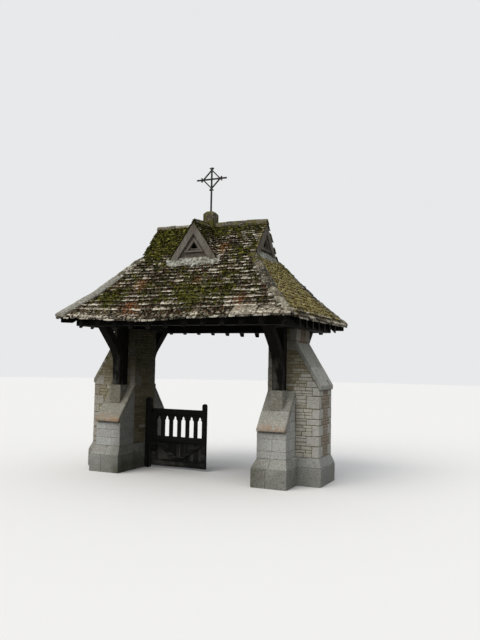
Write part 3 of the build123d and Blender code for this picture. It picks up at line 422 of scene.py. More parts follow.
def lead_material():
    """Old lead and mortar: whitish, with dark stains."""
    s = Shader("lead", roughness=0.85, specular=0.15)
    colours = ((62, 58, 44), (112, 108, 94), (158, 157, 147), (206, 206, 198))
    return s.finish(s.ramp(s.noise(20.0, 6.0) * 2.4 - 0.7, colours), s.noise(34.0, 6.0), 1.0, 0.01)


def floor_material():
    """A plain pale floor that shows pale to the camera and gives little light back."""
    s = Shader("floor", roughness=0.95, specular=0.1)
    s.feed(s.bsdf["Base Color"], s.mix(s.seen(), FLOOR_BOUNCE, FLOOR_SEEN))
    return s.material


RUBBLE = stone_material(
    "rubble", ((108, 96, 70), (134, 122, 92), (152, 141, 112), (166, 158, 134), (208, 205, 192)), 0.35)
ASHLAR = stone_material(
    "dressed_stone", ((152, 149, 139), (171, 169, 162), (183, 182, 176), (192, 192, 187), (203, 203, 198)),
    0.5)
QUOIN = stone_material(
    "quoin_stone", ((124, 114, 95), (146, 137, 119), (162, 155, 140), (178, 173, 161), (206, 203, 193)), 0.45)
RED_RUBBLE = stone_material(
    "red_rubble", ((100, 81, 66), (122, 101, 84), (140, 119, 101), (152, 135, 118), (168, 154, 138)), 0.45)
WEATHERING = stone_material(
    "weathering_stone", ((122, 116, 96), (140, 136, 121), (154, 151, 140), (171, 169, 159), (190, 188, 180)),
    0.45, 0.3)
RIDGE_STONE = stone_material(
    "ridge_stone", ((22, 18, 9), (54, 47, 32), (92, 84, 64), (138, 131, 113), (196, 191, 177)),
    0.4, 0.2, 26.0, 1.3)
MORTAR = stone_material("mortar", ((122, 112, 88), (136, 126, 101), (150, 141, 117)), 0.25)
PALE_MORTAR = stone_material("pale_mortar", ((140, 134, 118), (152, 147, 133), (164, 160, 148)), 0.4)
HIP_MORTAR = stone_material(
    "hip_mortar", ((66, 61, 50), (124, 120, 109), (168, 165, 155)), 0.35, 0.2, 22.0, 1.5)
SLATE = slate_material()
MOSS = moss_material()
IRON = iron_material()
LEAD = lead_material()


# Building solids

class Pile:
    """Small closed solids gathered into one mesh, with values that the materials read."""

    def __init__(self):
        self.points, self.faces, self.values = [], [], {name: [] for name in VALUES}
        self.count = 0

    def add(self, points, faces, **values):
        """Adds a solid. A value may be a function of the points."""
        points = np.asarray(points, float).reshape(-1, 3)
        self.points.append(points)
        self.faces.extend([[self.count + i for i in face] for face in faces])
        for name in VALUES:
            value = values.get(name, 0.0)
            value = value(points) if callable(value) else value
            self.values[name].append(np.broadcast_to(value, len(points)))
        self.count += len(points)

    def add_mesh(self, bm, **values):
        """Adds a bmesh and frees it."""
        bm.verts.index_update()
        points = np.array([v.co for v in bm.verts])
        faces = [[v.index for v in face.verts] for face in bm.faces]
        bm.free()
        self.add(points, faces, **values)

    def piece(self, name, material, slot, replaces=(), body="lychgate", smooth_faces=False):
        """Puts the mesh in the scene as a piece that rides on a body."""
        mesh = bpy.data.meshes.new(name)
        points = np.clip(np.concatenate(self.points), *[tuple(corner) for corner in cad_box])
        mesh.from_pydata(points, [], self.faces)
        for key, parts in self.values.items():
            attribute = mesh.attributes.new(key, "FLOAT", "POINT")
            attribute.data.foreach_set("value", np.concatenate(parts).astype(np.float32))
        if smooth_faces:
            mesh.shade_smooth()
        else:
            mesh.shade_flat()
        mesh.validate()
        mesh.materials.append(material)
        piece = bpy.data.objects.new(name, mesh)
        bpy.context.scene.collection.objects.link(piece)
        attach(piece, body)
        if replaces:
            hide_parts(*replaces)


def tube(count, rings):
    """Faces that join rings of so many points, one ring after the other."""
    starts = range(0, count * (rings - 1), count)
    return [[start + i, start + (i + 1) % count, start + count + (i + 1) % count, start + count + i]
            for start in starts for i in range(count)]


def slab_faces(rows, columns, turn):
    """Faces of a slab with an under side of rows by columns points and then a like upper side."""
    grid = np.arange(rows * columns).reshape(rows, columns)
    under = np.stack([grid[:-1, :-1], grid[:-1, 1:], grid[1:, 1:], grid[1:, :-1]], -1).reshape(-1, 4)
    rim = np.concatenate([grid[:-1, 0], grid[-1, :-1], grid[:0:-1, -1], grid[0, :0:-1]])
    after = np.roll(rim, -1)
    sides = np.stack([rim, after, grid.size + after, grid.size + rim], -1)
    return np.concatenate([under, under[:, ::-1] + grid.size, sides])[:, ::turn].tolist()


def chamfered_box():
    """Faces of a box with every edge cut, its point 3c + k on corner c and the side along axis k."""
    corners = [(x, y, z) for x in (-1, 1) for y in (-1, 1) for z in (-1, 1)]

    def corner_at(places):
        return corners.index(tuple(places[axis] for axis in range(3)))

    faces = [[3 * i, 3 * i + 1, 3 * i + 2] for i in range(8)]
    ring = ((-1, -1), (1, -1), (1, 1), (-1, 1))
    for k in range(3):
        a, b = [i for i in range(3) if i != k]
        for side in (-1, 1):
            faces.append([3 * corner_at({k: side, a: u, b: v}) + k for u, v in ring])
        for u in (-1, 1):
            for v in (-1, 1):
                first, last = [3 * corner_at({k: w, a: u, b: v}) for w in (-1, 1)]
                faces.append([first + a, last + a, last + b, first + b])
    signs = np.repeat(np.array(corners, float), 3, axis=0)
    kept = np.tile(np.eye(3), (8, 1))
    guide = signs * (0.8 + 0.2 * kept)
    turned = []
    for face in faces:
        normal = np.cross(guide[face[1]] - guide[face[0]], guide[face[2]] - guide[face[1]])
        turned.append(face if normal @ guide[face].mean(axis=0) > 0 else face[::-1])
    return signs, kept, turned


BOX_SIGNS, BOX_KEPT, BOX_FACES = chamfered_box()


def add_block(pile, low, high, rng, bevel=0.006, rough=0.002, **values):
    """A rough-edged stone between two corners."""
    half = (high - low) / 2
    cut = np.minimum(bevel, half * 0.6)
    points = (low + high) / 2 + BOX_SIGNS * (half - cut * (1 - BOX_KEPT))
    pile.add(points + rng.uniform(-rough, rough, points.shape), BOX_FACES, **values)


def cut_block(pile, low, high, planes, bevel=0.008, rough=0.002, **values):
    """A bevelled stone: the box between two corners, cut back by planes of point and outward normal."""
    bm = bmesh.new()
    place = Matrix.Translation((low + high) / 2) @ Matrix.Diagonal((*(high - low), 1))
    bmesh.ops.create_cube(bm, size=1, matrix=place)
    for plane in planes:
        cut_off(bm, plane)
    if len(bm.faces) < 4:
        bm.free()
        return
    bmesh.ops.remove_doubles(bm, verts=bm.verts, dist=0.004)
    bmesh.ops.bevel(bm, geom=bm.edges[:], offset=bevel, segments=1, affect="EDGES", clamp_overlap=True)
    bmesh.ops.dissolve_degenerate(bm, edges=bm.edges[:], dist=1e-4)
    roughen(bm, rough)
    pile.add_mesh(bm, **values)


def cut_off(bm, plane):
    """Takes away what lies outside a plane of point and outward normal, and closes the cut."""
    everything = bm.verts[:] + bm.edges[:] + bm.faces[:]
    cut = bmesh.ops.bisect_plane(bm, geom=everything, plane_co=plane[0], plane_no=plane[1], clear_outer=True)
    edges = [g for g in cut["geom_cut"] if isinstance(g, bmesh.types.BMEdge)]
    if edges:
        bmesh.ops.holes_fill(bm, edges=edges)


def roughen(bm, amount, scale=9.0):
    """Shifts points by a smooth noise, so that neighbours stay together."""
    for v in bm.verts:
        v.co += noise.noise_vector(v.co * scale) * amount


def prism(pile, outline, place, start, end, bevel=0.004, rough=0.0, slices=1, **values):
    """Extrudes an outline of (a, b) points from start to end, where place(a, b, w) gives its points."""
    bm = bmesh.new()
    rings = []
    for i in range(slices + 1):
        w = start + (end - start) * i / slices
        rings.append([bm.verts.new(place(a, b, w)) for a, b in outline])
    bm.faces.new(rings[0])
    bm.faces.new(rings[-1][::-1])
    for lower, upper in zip(rings, rings[1:]):
        for i in range(len(outline)):
            j = (i + 1) % len(outline)
            bm.faces.new((lower[i], upper[i], upper[j], lower[j]))
    bmesh.ops.recalc_face_normals(bm, faces=bm.faces[:])
    sharp = [e for e in bm.edges if e.calc_face_angle(0) > radians(25)]
    bmesh.ops.bevel(bm, geom=sharp, offset=bevel, segments=1, affect="EDGES", clamp_overlap=True)
    roughen(bm, rough)
    pile.add_mesh(bm, **values)


def pierced(pile, outline, holes, place, start, end, **values):
    """A plate with holes: outlines of (a, b) points, carried by place(a, b, w) from start to end."""
    loops = [outline, *holes]
    flat = [point for loop in loops for point in loop]
    count = len(flat)
    bm = bmesh.new()
    verts = [bm.verts.new(place(a, b, w)) for w in (start, end) for a, b in flat]
    for a, b, c in tessellate_polygon([[Vector((*point, 0)) for point in loop] for loop in loops]):
        bm.faces.new((verts[a], verts[b], verts[c]))
        bm.faces.new((verts[count + c], verts[count + b], verts[count + a]))
    base = 0
    for loop in loops:
        for i in range(len(loop)):
            a, b = base + i, base + (i + 1) % len(loop)
            bm.faces.new((verts[a], verts[b], verts[count + b], verts[count + a]))
        base += len(loop)
    bmesh.ops.recalc_face_normals(bm, faces=bm.faces[:])
    pile.add_mesh(bm, **values)


def dressed(node, material, slot, bevel=0.005, rough=0.0015, body="lychgate", cuts=0, move=None, plane=None,
            **values):
    """A copy of a CAD node with eased edges and a slightly uneven surface, shown in its place."""
    bm = bmesh.new()
    bm.from_mesh(NODES[node].data)
    bmesh.ops.remove_doubles(bm, verts=bm.verts, dist=1e-5)
    bmesh.ops.dissolve_limit(bm, angle_limit=radians(1), verts=bm.verts, edges=bm.edges)
    for v in bm.verts if move else ():
        v.co = move(v.co)
    if plane:
        cut_off(bm, plane)
    sharp = [e for e in bm.edges if e.is_manifold and e.calc_face_angle(0) > radians(30)]
    bmesh.ops.bevel(bm, geom=sharp, offset=bevel, segments=2, affect="EDGES", clamp_overlap=True)
    bmesh.ops.dissolve_degenerate(bm, edges=bm.edges[:], dist=1e-5)
    if cuts:
        bmesh.ops.triangulate(bm, faces=bm.faces[:])
        bmesh.ops.subdivide_edges(bm, edges=bm.edges[:], cuts=cuts, use_grid_fill=True)
    roughen(bm, rough, 3.0)
    pile = Pile()
    pile.add_mesh(bm, **values)
    pile.piece(node + "_dressed", material, slot, [node], body)


# What grows on the roof, and how it has sunk

def patches(points, table):
    """The sum of soft round patches at each point."""
    level = np.zeros(len(points))
    for *middle, radius, strength in table:
        level += strength * np.exp(-((points - middle) ** 2).sum(axis=1) / radius**2)
    return level


def end_share(points):
    """1 on the two end slopes and 0 on the long ones, with a soft change at the hips."""
    x, y = np.abs(points[:, 0]), np.abs(points[:, 1])
    return smooth(-0.12, 0.12, x - y - (EAVE_X - EAVE_Y)) * smooth(VERGE_X - 0.06, VERGE_X + 0.04, x)


def moss_level(points):
    """How mossy the roof is at each point: most near the ridge and over the right-hand end."""
    x, _, z = points.T
    end = end_share(points)
    bare = 0.7 * smooth(0.1, 0.6, x) * smooth(4.2, 3.95, z)
    ridge = 0.42 * smooth(3.55, 4.1, z) * (1 - bare) + 0.25 * smooth(0.0, -1.2, x) * smooth(3.0, 3.9, z)
    eaves = 0.25 * smooth(2.85, 2.6, z) * (1 - end) + 0.5 * end * smooth(2.68, 2.54, z)
    return 0.28 + ridge + patches(points, MOSS_PATCHES) - eaves + 0.34 * end * smooth(-1.0, 1.0, x)


def ochre_level(points):
    """Where the moss has dried to ochre: over the right-hand end, and in places elsewhere."""
    return 0.15 + 0.85 * end_share(points) * smooth(-1.0, 1.0, points[:, 0])


def eave_drop(e, s, is_long):
    """The drop of an eave: a little all along, and most left of the middle of a long one."""
    depth = SAG_DEPTH * (1.0 if is_long else 0.3)
    depth = EAVE_DROP + depth * np.exp(-(((e - SAG_MIDDLE) / SAG_REACH) ** 2))
    return depth * smooth(SAG_RUN, 0.0, np.asarray(s))


def ridge_sag(y):
    """How far the cross ridge has dropped at its ends."""
    return RIDGE_SAG * smooth(0.15, GABLET_VERGE, np.abs(y))


def hip_height(r):
    """The height of the roof's face at a plan distance in from the eave."""
    low, high = tan(FOOT_ANGLE), tan(ROOF_ANGLE)
    drop = EAVE_DROP * smooth(SAG_RUN, 0.0, np.asarray(r) / cos(FOOT_ANGLE))
    return EAVE_TOP - drop + np.where(r < FOOT_RUN, r * low, FOOT_RUN * low + (r - FOOT_RUN) * high)


class Slope:
    """A face of the roof: e runs along it, s up it and h out of it, with h zero on the CAD face."""

    def __init__(self, inward, reach, foot, angles, boards):
        self.inward = np.array((*inward, 0.0))
        self.along = np.array((inward[1], -inward[0], 0.0))
        self.reach, self.foot, self.angles, self.boards = reach, foot, angles, boards
        self.is_long, self.is_gablet = reach == EAVE_Y, reach == GABLET_HALF
        self.half = EAVE_X if self.is_long else EAVE_Y

    def run(self, s):
        """The plan distance in from the eave at a distance up the slope."""
        low, high = self.angles
        return np.where(s < KNEE, s * cos(low), KNEE * cos(low) + (s - KNEE) * cos(high))

    def angle(self, s):
        low, high = self.angles
        return low + (high - low) * np.clip((s - KNEE) / KNEE_BLEND + 0.5, 0, 1)

    def up_to(self, run):
        """The distance up the slope at a plan distance in from the eave."""
        low, high = self.angles
        knee_run = KNEE * cos(low)
        return run / cos(low) if run < knee_run else KNEE + (run - knee_run) / cos(high)

    def drop(self, e, s):
        """How far the old roof has sunk, at the eaves or towards the ends of the cross ridge."""
        return ridge_sag(e) * self.run(s) / GABLET_HALF if self.is_gablet else eave_drop(e, s, self.is_long)

    def waves(self, e, s):
        """The gentle waves of an old roof."""
        wave = 0.006 * np.sin(3.1 * e + 1.3 * self.reach) * np.sin(2.7 * s + 0.6)
        return wave * (0.3 if self.is_gablet else 1.0)

    def bed(self, s):
        """Where the slates' bed lies below the CAD face."""
        return self.boards - COVERING * np.cos(self.angle(s))

    def points(self, e, s, h):
        """Where points lie that are given along the face, up it and out of it."""
        e, s, h = (np.asarray(v, float) for v in (e, s, h))
        low, high = self.angles
        rise = np.where(s < KNEE, s * sin(low), KNEE * sin(low) + (s - KNEE) * sin(high))
        angle = self.angle(s)
        out = self.reach - self.run(s) + h * np.sin(angle)
        up = self.foot + rise + h * np.cos(angle) - self.drop(e, s)
        return e[:, None] * self.along - out[:, None] * self.inward + up[:, None] * (0, 0, 1)

    def edge(self, s, gap=0.0, verge=VERGE_X):
        """How far a main slope reaches along e: to its hips, and on a long one to the verges above them."""
        run = self.run(s)
        return np.where(self.is_long & (run >= HIP_HEAD), verge, self.half - run - gap)

    def valley(self, s, lap=0.0):
        """How far along e a valley of the gablet lies."""
        out = self.reach - self.run(s)
        return (out * GABLET_FACE / GABLET_HALF if self.is_gablet else GABLET_HALF * out / GABLET_FACE) - lap


def main_slope(inward):
    return Slope(inward, EAVE_X if inward[0] else EAVE_Y, EAVE_TOP, (FOOT_ANGLE, ROOF_ANGLE), BOARD_THICKNESS)


def gablet_slope(hand):
    return Slope((-hand, 0), GABLET_HALF, GABLET_BASE, (GABLET_ANGLE, GABLET_ANGLE), 0.0)


def main_stretches(slope, low, top, gap, verge, lap):
    """The stretches of a main slope, each with its left and right line. The gablet splits the long ones."""
    def edge(s):
        return slope.edge(s, gap, verge)

    def valley(s):
        return slope.valley(s, lap)

    def left_edge(s):
        return -edge(s)

    if not slope.is_long:
        return [(low, top, left_edge, edge)]
    split = slope.up_to(EAVE_Y - GABLET_FACE)
    return [(low, split, left_edge, edge), (split, top, left_edge, lambda s: -valley(s)),
            (split, top, valley, edge)]


def gablet_stretch(slope, sign, low, verge, lap):
    """The one stretch of a gablet's slope, with e growing from the valley to the verge if sign is 1."""
    top = slope.up_to(GABLET_HALF) - 0.02
    if sign > 0:
        return low, top, lambda s: slope.valley(s, lap), lambda s: verge
    return low, top, lambda s: -verge, lambda s: -slope.valley(s, lap)


# Slates and their boards

def add_slate(pile, slope, bounds, tail, gauge, head, span, rests, thick, rng, tone):
    """One stone slate: ragged at the tail, its outline kept inside the bounds along the slope."""
    e = span[0] + SLATE_ACROSS * (span[1] - span[0]) + rng.uniform(-0.003, 0.003, 8)
    ragged = SLATE_RAGGED * (rng.uniform(-0.007, 0.007, 8) + rng.normal(0, 0.005))
    s = np.maximum(tail + SLATE_UP * (head - tail) * 0.9 + ragged, 0.0)
    e = np.clip(e, bounds[0](s), bounds[1](s))
    if np.ptp(e[1:5]) < NARROWEST_SLATE:
        return
    share = np.clip((s - tail) / max(head - tail, 1e-6), 0, 1)
    base = rests[0] + (rests[1] - rests[0]) * share + rng.uniform(-0.0015, 0.0015)
    at_eave = tail < 0.02
    plumb = (1 - share) * tan(FOOT_ANGLE) if at_eave else 0.0
    size = max(np.ptp(e), np.ptp(s), 0.04) / 2
    rings, edges = [], []
    for inset, lift in SLATE_RINGS:
        shrink = 1 - inset / size
        ring_e = e.mean() + (e - e.mean()) * shrink
        ring_s = s.mean() + (s - s.mean()) * shrink
        lumps = rng.uniform(-0.0015, 0.0015, 8) if lift == 1.0 else 0.0
        h = base + thick * lift + lumps + slope.waves(ring_e, ring_s)
        rings.append(slope.points(ring_e, ring_s + np.minimum(h, 0.0) * plumb, h))
        # The edge value, in gauges up from the tail, drives the pale tails (partly painted highlight) and the
        # painted shade under the laps
        up_face = np.clip((ring_s - tail) / gauge, -0.1, 1.6)
        # Eave slabs: a narrowed range, giving faint pale tails and faint painted shade
        if at_eave and gauge > 0.15:
            up_face = 0.24 + 0.3 * up_face
        # The underside of each tail above the eave: painted shade
        elif lift == 0.0 and not at_eave:
            up_face = np.full(8, 1.3)
        edges.append(up_face)
    points = np.concatenate(rings)
    faces = [list(range(7, -1, -1)), list(range(16, 24)), *tube(8, 3)]
    pile.add(points, faces, tone=tone, edge=np.concatenate(edges), moss=moss_level(points),
             warm=patches(points, WARM_PATCHES), ochre=ochre_level(points))


def slate_tone(slope, e, s, rng):
    """Mostly dark slates with some pale ones, and more of them near the foot of the left-hand hips."""
    x, y, z = slope.points([e], [s], 0)[0]
    patch = np.exp(-((x + 1.5) ** 2 + (abs(y) - 1.35) ** 2) / 0.3)
    patch += 0.5 * np.exp(-((x - 1.2) ** 2 + (z - 2.75) ** 2) / 0.1)
    if rng.random() < 0.2 + 0.25 * patch + 0.08 * float(smooth(0.1, 0.6, x)):
        return rng.uniform(0.66, 1.0)
    return float(np.clip(rng.normal(0.3 + 0.12 * patch, 0.13), 0, 0.6))


def eave_slab(e, width, tone):
    """Width and tone in the eave course: larger slabs, palest at the right-hand end of the front eave."""
    if e > SLABS_FROM + 0.3:
        return 0.36, 0.9
    if e > SLABS_FROM:
        return 0.40, 1.0
    if e < -SLABS_FROM:
        return 0.36, 0.56
    return width * 1.3, 0.2 + 0.5 * tone


def lay_slates(pile, slope, stretches, gauges, widths, rng, has_slabs=False):
    """Courses that get shorter and narrower up the slope, each lapping the one below."""
    top = stretches[-1][1]
    tails = [0.0, rng.uniform(*SLAB_GAUGE)] if has_slabs else [0.0]
    while tails[-1] < top:
        gauge = gauges[0] * (gauges[1] / gauges[0]) ** (tails[-1] / top)
        tails.append(tails[-1] + gauge * rng.uniform(0.92, 1.08))
    courses = [(0.012, tails[1] * 0.7, True)]
    courses += [(tail, above, False) for tail, above in zip(tails, tails[1:])]
    for tail, above, under in courses:
        gauge = above - tail
        head = min(tail + gauge * (1.0 if under else 1.4), top + 0.02)
        bed = slope.bed(tail)
        depth = -float(bed) / 2
        rests = (bed - 0.004, bed - 0.006) if under else (bed + depth * 0.95, bed + 0.001)
        for low, high, left, right in stretches:
            if not low <= tail < high:
                continue
            e, stop = float(left(tail)), float(right(tail))
            e += rng.uniform(-0.1, 0.0)
            while e < stop:
                width = widths[0] * (widths[1] / widths[0]) ** (tail / top) * rng.uniform(0.65, 1.4)
                tone = slate_tone(slope, e, tail, rng)
                if has_slabs and tail == 0.0:
                    width, tone = eave_slab(e, width, tone)
                end = min(e + width, stop + 0.05)
                if stop - end < 0.05:
                    end = stop + 0.02
                thick = depth * rng.uniform(0.72, 1.02)
                span = (e + SLATE_GAP, end - SLATE_GAP)
                add_slate(pile, slope, (left, right), tail, gauge, head, span, rests, thick, rng, tone)
                e = end


def slate_roof():
    """The slates of the four main slopes and of the front and rear gablet roofs."""
    rng = np.random.default_rng(SEEDS["slates"])
    for name, inward in INWARD.items():
        slope = main_slope(inward)
        top = slope.up_to(EAVE_Y) - 0.02 if slope.is_long else slope.up_to(HIP_HEAD) + 0.03
        gauges, widths = LONG_COURSES if slope.is_long else END_COURSES
        pile = Pile()
        stretches = main_stretches(slope, 0.0, top, HIP_GAP, VERGE_X, VALLEY_LAP)
        lay_slates(pile, slope, stretches, gauges, widths, rng, slope.is_long)
        pile.piece(name + "_slates", SLATE, "stone_slate", [name + "_roof_slope"])
    for name, face in (("front", -1), ("rear", 1)):
        pile = Pile()
        for hand in (-1, 1):
            slope = gablet_slope(hand)
            stretch = gablet_stretch(slope, face * hand, 0.0, GABLET_VERGE, VALLEY_LAP)
            lay_slates(pile, slope, [stretch], *GABLET_COURSES, rng)
        pile.piece(name + "_gablet_slates", SLATE, "stone_slate", [name + "_gablet_roof"])


def slate_boards():
    """The boards that the slates lie on, which show between the rafters from below."""
    rng = np.random.default_rng(SEEDS["boards"])
    pile = Pile()
    for inward in INWARD.values():
        slope = main_slope(inward)
        top = slope.up_to(EAVE_Y - 0.03 if slope.is_long else HIP_HEAD + 0.04)
        for stretch in main_stretches(slope, 0.03, top, 0.02, VERGE_X - 0.05, 0.05):
            lay_boards(pile, slope, *stretch, rng)
    for face in (-1, 1):
        for hand in (-1, 1):
            slope = gablet_slope(hand)
            stretch = gablet_stretch(slope, face * hand, 0.02, GABLET_FACE - 0.01, 0.06)
            lay_boards(pile, slope, *stretch, rng)
    boards = timber_material("board_oak", (1, 0, 0), BOARD_OAK, 0.1)
    pile.piece("slate_boards", boards, "frame_oak")


def lay_boards(pile, slope, low, top, left, right, rng):
    """Boards up a slope, lapping a little so that no light comes between them."""
    s = low
    lowered = 0.0
    while s < top - 0.02:
        upper = min(s + BOARD_WIDTH * rng.uniform(0.85, 1.1), top)
        add_board(pile, slope, (s, min(upper + 0.005, top)), left, right, lowered, rng.uniform(0, 1))
        lowered = 0.002 - lowered
        s = upper


def add_board(pile, slope, span, left, right, lowered, tone):
    """One board that follows the eave's drop, its ends cut to the lines left and right."""
    count = max(2, round((right(span[0]) - left(span[0])) / 0.2))
    e = np.concatenate([np.linspace(left(s), right(s), count) for s in span])
    s = np.repeat(span, count)
    points = [slope.points(e, s, slope.bed(s) - depth - lowered) for depth in (BOARD_THICKNESS, 0.001)]
    pile.add(np.concatenate(points), slab_faces(2, count, -1), tone=tone)


# Hips, ridges and aprons

def add_capping(pile, side, face, start, end, half_width, thick, rng, rough, **values):
    """A bedded capping along a hip, from one plan distance in from the eave corner to another."""
    steps = max(3, round((end - start) / CAPPING_STEP))
    r = np.linspace(start, end, steps)
    rounding = np.ones(steps)
    rounding[[0, -1]] = 0.55
    widths = half_width * (1 + rng.uniform(-rough, rough, (steps, 2)) * 12)
    rows = []
    for is_top in (False, True):
        for i in range(steps):
            w = CAPPING_ACROSS * np.where(CAPPING_ACROSS < 0, widths[i, 0], widths[i, 1])
            x = EAVE_X - r[i] - np.maximum(w, 0)
            y = EAVE_Y - r[i] - np.maximum(-w, 0)
            lift = np.full(7, BEDDED)
            if is_top:
                lift = CAPPING_CROWN * rounding[i] * thick * 1.5 + rng.uniform(-rough, rough, 7)
            rows.append(np.stack([side * x, face * y, hip_height(r[i]) + lift], 1))
    pile.add(rows, slab_faces(steps, 7, -side * face), **values)


def hip_growth(side, r, rng):
    """Tone, moss and ochre of a hip stone: pale, darker half-way up the right-hand hips and mossy above."""
    moss = 0.6 * float(smooth(0.5, 0.85, r)) if side > 0 else 0.1
    dark = 0.22 * float(smooth(0.25, 0.45, r)) if side > 0 else 0.0
    tone = float(np.clip(rng.normal(0.62 - dark, 0.22 + 0.3 * dark), 0, 1)) - 0.2 * moss
    return {"tone": tone, "moss": moss, "ochre": 0.8 * moss}


def cap_hips():
    """Mortar over the foot of the left-hand hips, and a rubble of small stones along the others."""
    rng = np.random.default_rng(SEEDS["hips"])
    head = HIP_HEAD - 0.02
    mortar, stones = Pile(), Pile()
    for side in (-1, 1):
        for face in (-1, 1):
            stone_from = 0.0
            if side < 0:
                stone_from = 0.66 if face < 0 else 0.5
                add_capping(mortar, side, face, 0.003, stone_from, 0.145, 0.018, rng, 0.0026, tone=0.6)
            r = stone_from + 0.004
            while r < head - 0.03:
                end = min(r + rng.uniform(*HIP_STONE_LENGTH), head)
                half_width, thick = rng.uniform(0.07, 0.12), rng.uniform(0.010, 0.022)
                growth = hip_growth(side, r, rng)
                add_capping(stones, side, face, r, end - 0.003, half_width, thick, rng, 0.005, **growth)
                r = end
            add_hip_rubble(stones, side, face, stone_from, head, rng)
    mortar.piece("hip_mortar", HIP_MORTAR, "ridge_stone", ["hip_cappings"])
    stones.piece("hip_stones", RIDGE_STONE, "ridge_stone", ["hip_cappings"])


def add_hip_rubble(pile, side, face, start, end, rng):
    """Small rough stones bedded on the slates along both sides of a hip."""
    for slope, sign in ((main_slope((0, -face)), side), (main_slope((-side, 0)), face)):
        for _ in range(RUBBLE_COUNT):
            r = rng.uniform(start + 0.02, end)
            away = rng.uniform(0.0, 1.0) ** 1.3 * RUBBLE_REACH
            e = sign * (slope.half - r - away) * slope.along.sum()
            radius = rng.uniform(0.014, 0.032)
            add_cushion(pile, slope, e, slope.up_to(r), rng, radius, **hip_growth(side, r, rng))


def cap_ridges():
    """Angular stones along both ridges, with open joints, as thin as the weather has left them."""
    rng = np.random.default_rng(SEEDS["ridges"])
    pile = Pile()
    # Each ridge's slope and end, and its stones' thickness, reach down the roof and mean length
    for along_x, slope, end, thick, leg, mean in (
        (True, tan(ROOF_ANGLE), VERGE_X, 0.022, 0.105, 0.30),
        (False, tan(GABLET_ANGLE), GABLET_VERGE - 0.02, 0.012, 0.085, 0.2),
    ):
        for hand in (-1, 1):
            is_left = along_x and hand < 0
            for low, high in lengths(rng, FINIAL_HALF, end, mean):
                reach = leg * rng.uniform(0.8, 1.1) * cos(ROOF_ANGLE) * (0.5 if is_left else 1.0)
                lift = thick * rng.uniform(0.8, 1.2) * sqrt(1 + slope * slope)
                foot = -reach * slope
                outline = [(reach, foot - 0.01), (0.0, -0.01), (-reach, foot - 0.01),
                           (-reach, foot + lift * 0.7), (-0.02, lift - 0.03 * slope), (0.0, lift - 0.016),
                           (0.02, lift - 0.03 * slope), (reach, foot + lift * 0.7)]
                tilt = rng.uniform(-0.02, 0.02)

                def place(a, b, w):
                    up = RIDGE_TOP + b + tilt * (w - (low + high) / 2)
                    if along_x:
                        return Vector((hand * w, a, up))
                    return Vector((a, hand * w, up - float(ridge_sag(w))))

                moss = rng.uniform(0.0, 0.4) if is_left else rng.uniform(0.25, 0.75)
                tone = rng.uniform(0.4, 0.75) if is_left else rng.uniform(0.15, 0.45)
                prism(pile, outline, place, low + 0.003, high - 0.003, bevel=0.004, rough=0.006, slices=5,
                      tone=tone, moss=moss, ochre=0.3)
    pile.piece("ridge_course", RIDGE_STONE, "ridge_stone", ["ridge_stones"])


def add_apron(pile, rng, place, half, foot, reach):
    """A bedded fillet below a gablet's sill, ragged along its lower edge."""
    a = np.linspace(-half, half, APRON_COLUMNS)
    ragged = rng.uniform(-0.12, 0.12, APRON_COLUMNS)
    edge = reach * (0.8 + 0.12 * np.sin(a * 17.0 + 1.0) + 0.08 * np.sin(a * 53.0) + ragged)
    edge *= 1 - 0.35 * (np.abs(a) / half) ** 6
    points = []
    for is_top in (False, True):
        for j, lift in enumerate(APRON_LIFTS):
            rise = lift + rng.uniform(-0.005, 0.005, APRON_COLUMNS) if is_top else BEDDED
            points.append(place(a, foot + edge * j / (APRON_ROWS - 1), rise))
    points = np.array(points).reshape(2, APRON_ROWS, APRON_COLUMNS, 3).swapaxes(1, 2)
    pile.add(points, slab_faces(APRON_COLUMNS, APRON_ROWS, -1), tone=0.6)


def lay_aprons():
    """Whitish fillets on the slates below all four gablets."""
    rng = np.random.default_rng(SEEDS["aprons"])
    pile = Pile()
    for side in (-1, 1):
        def front(a, out, lift):
            return np.stack([-side * a, side * out, hip_height(EAVE_Y - out) + lift], 1)

        def end(a, out, lift):
            return np.stack([side * out, side * a, hip_height(EAVE_X - out) + lift], 1)

        add_apron(pile, rng, front, GABLET_HALF + 0.03, GABLET_FACE - 0.004, 0.14)
        add_apron(pile, rng, end, 0.40, GABLE_WALL + 0.002, 0.13)
    pile.piece("apron_fillets", LEAD, "lead", ["gablet_aprons"])


def grow_moss():
    """Cushions of moss on the slates, thickest near the ridge and on the right-hand end."""
    rng = np.random.default_rng(SEEDS["moss"])
    pile = Pile()
    for inward, tries in zip(INWARD.values(), MOSS_TRIES):
        slope = main_slope(inward)
        top = slope.up_to(EAVE_Y if slope.is_long else HIP_HEAD)
        for _ in range(tries):
            s = rng.uniform(0.03, top - 0.03)
            limit = float(slope.edge(s)) - 0.04
            e = rng.uniform(-limit, limit)
            if slope.is_long and slope.run(s) > EAVE_Y - 0.75 and abs(e) < slope.valley(s) + 0.03:
                continue
            point = slope.points([e], [s], 0)
            if rng.random() > 1.6 * float(moss_level(point)[0]) ** 2:
                continue
            ochre = float(ochre_level(point)[0])
            radius, tone = rng.uniform(0.010, 0.028), rng.uniform(0.2, 0.8 - 0.2 * ochre)
            add_cushion(pile, slope, e, s, rng, radius, 0.006 - 0.004 * ochre, tone=tone, ochre=ochre)
    pile.piece("moss_cushions", MOSS, "stone_slate")


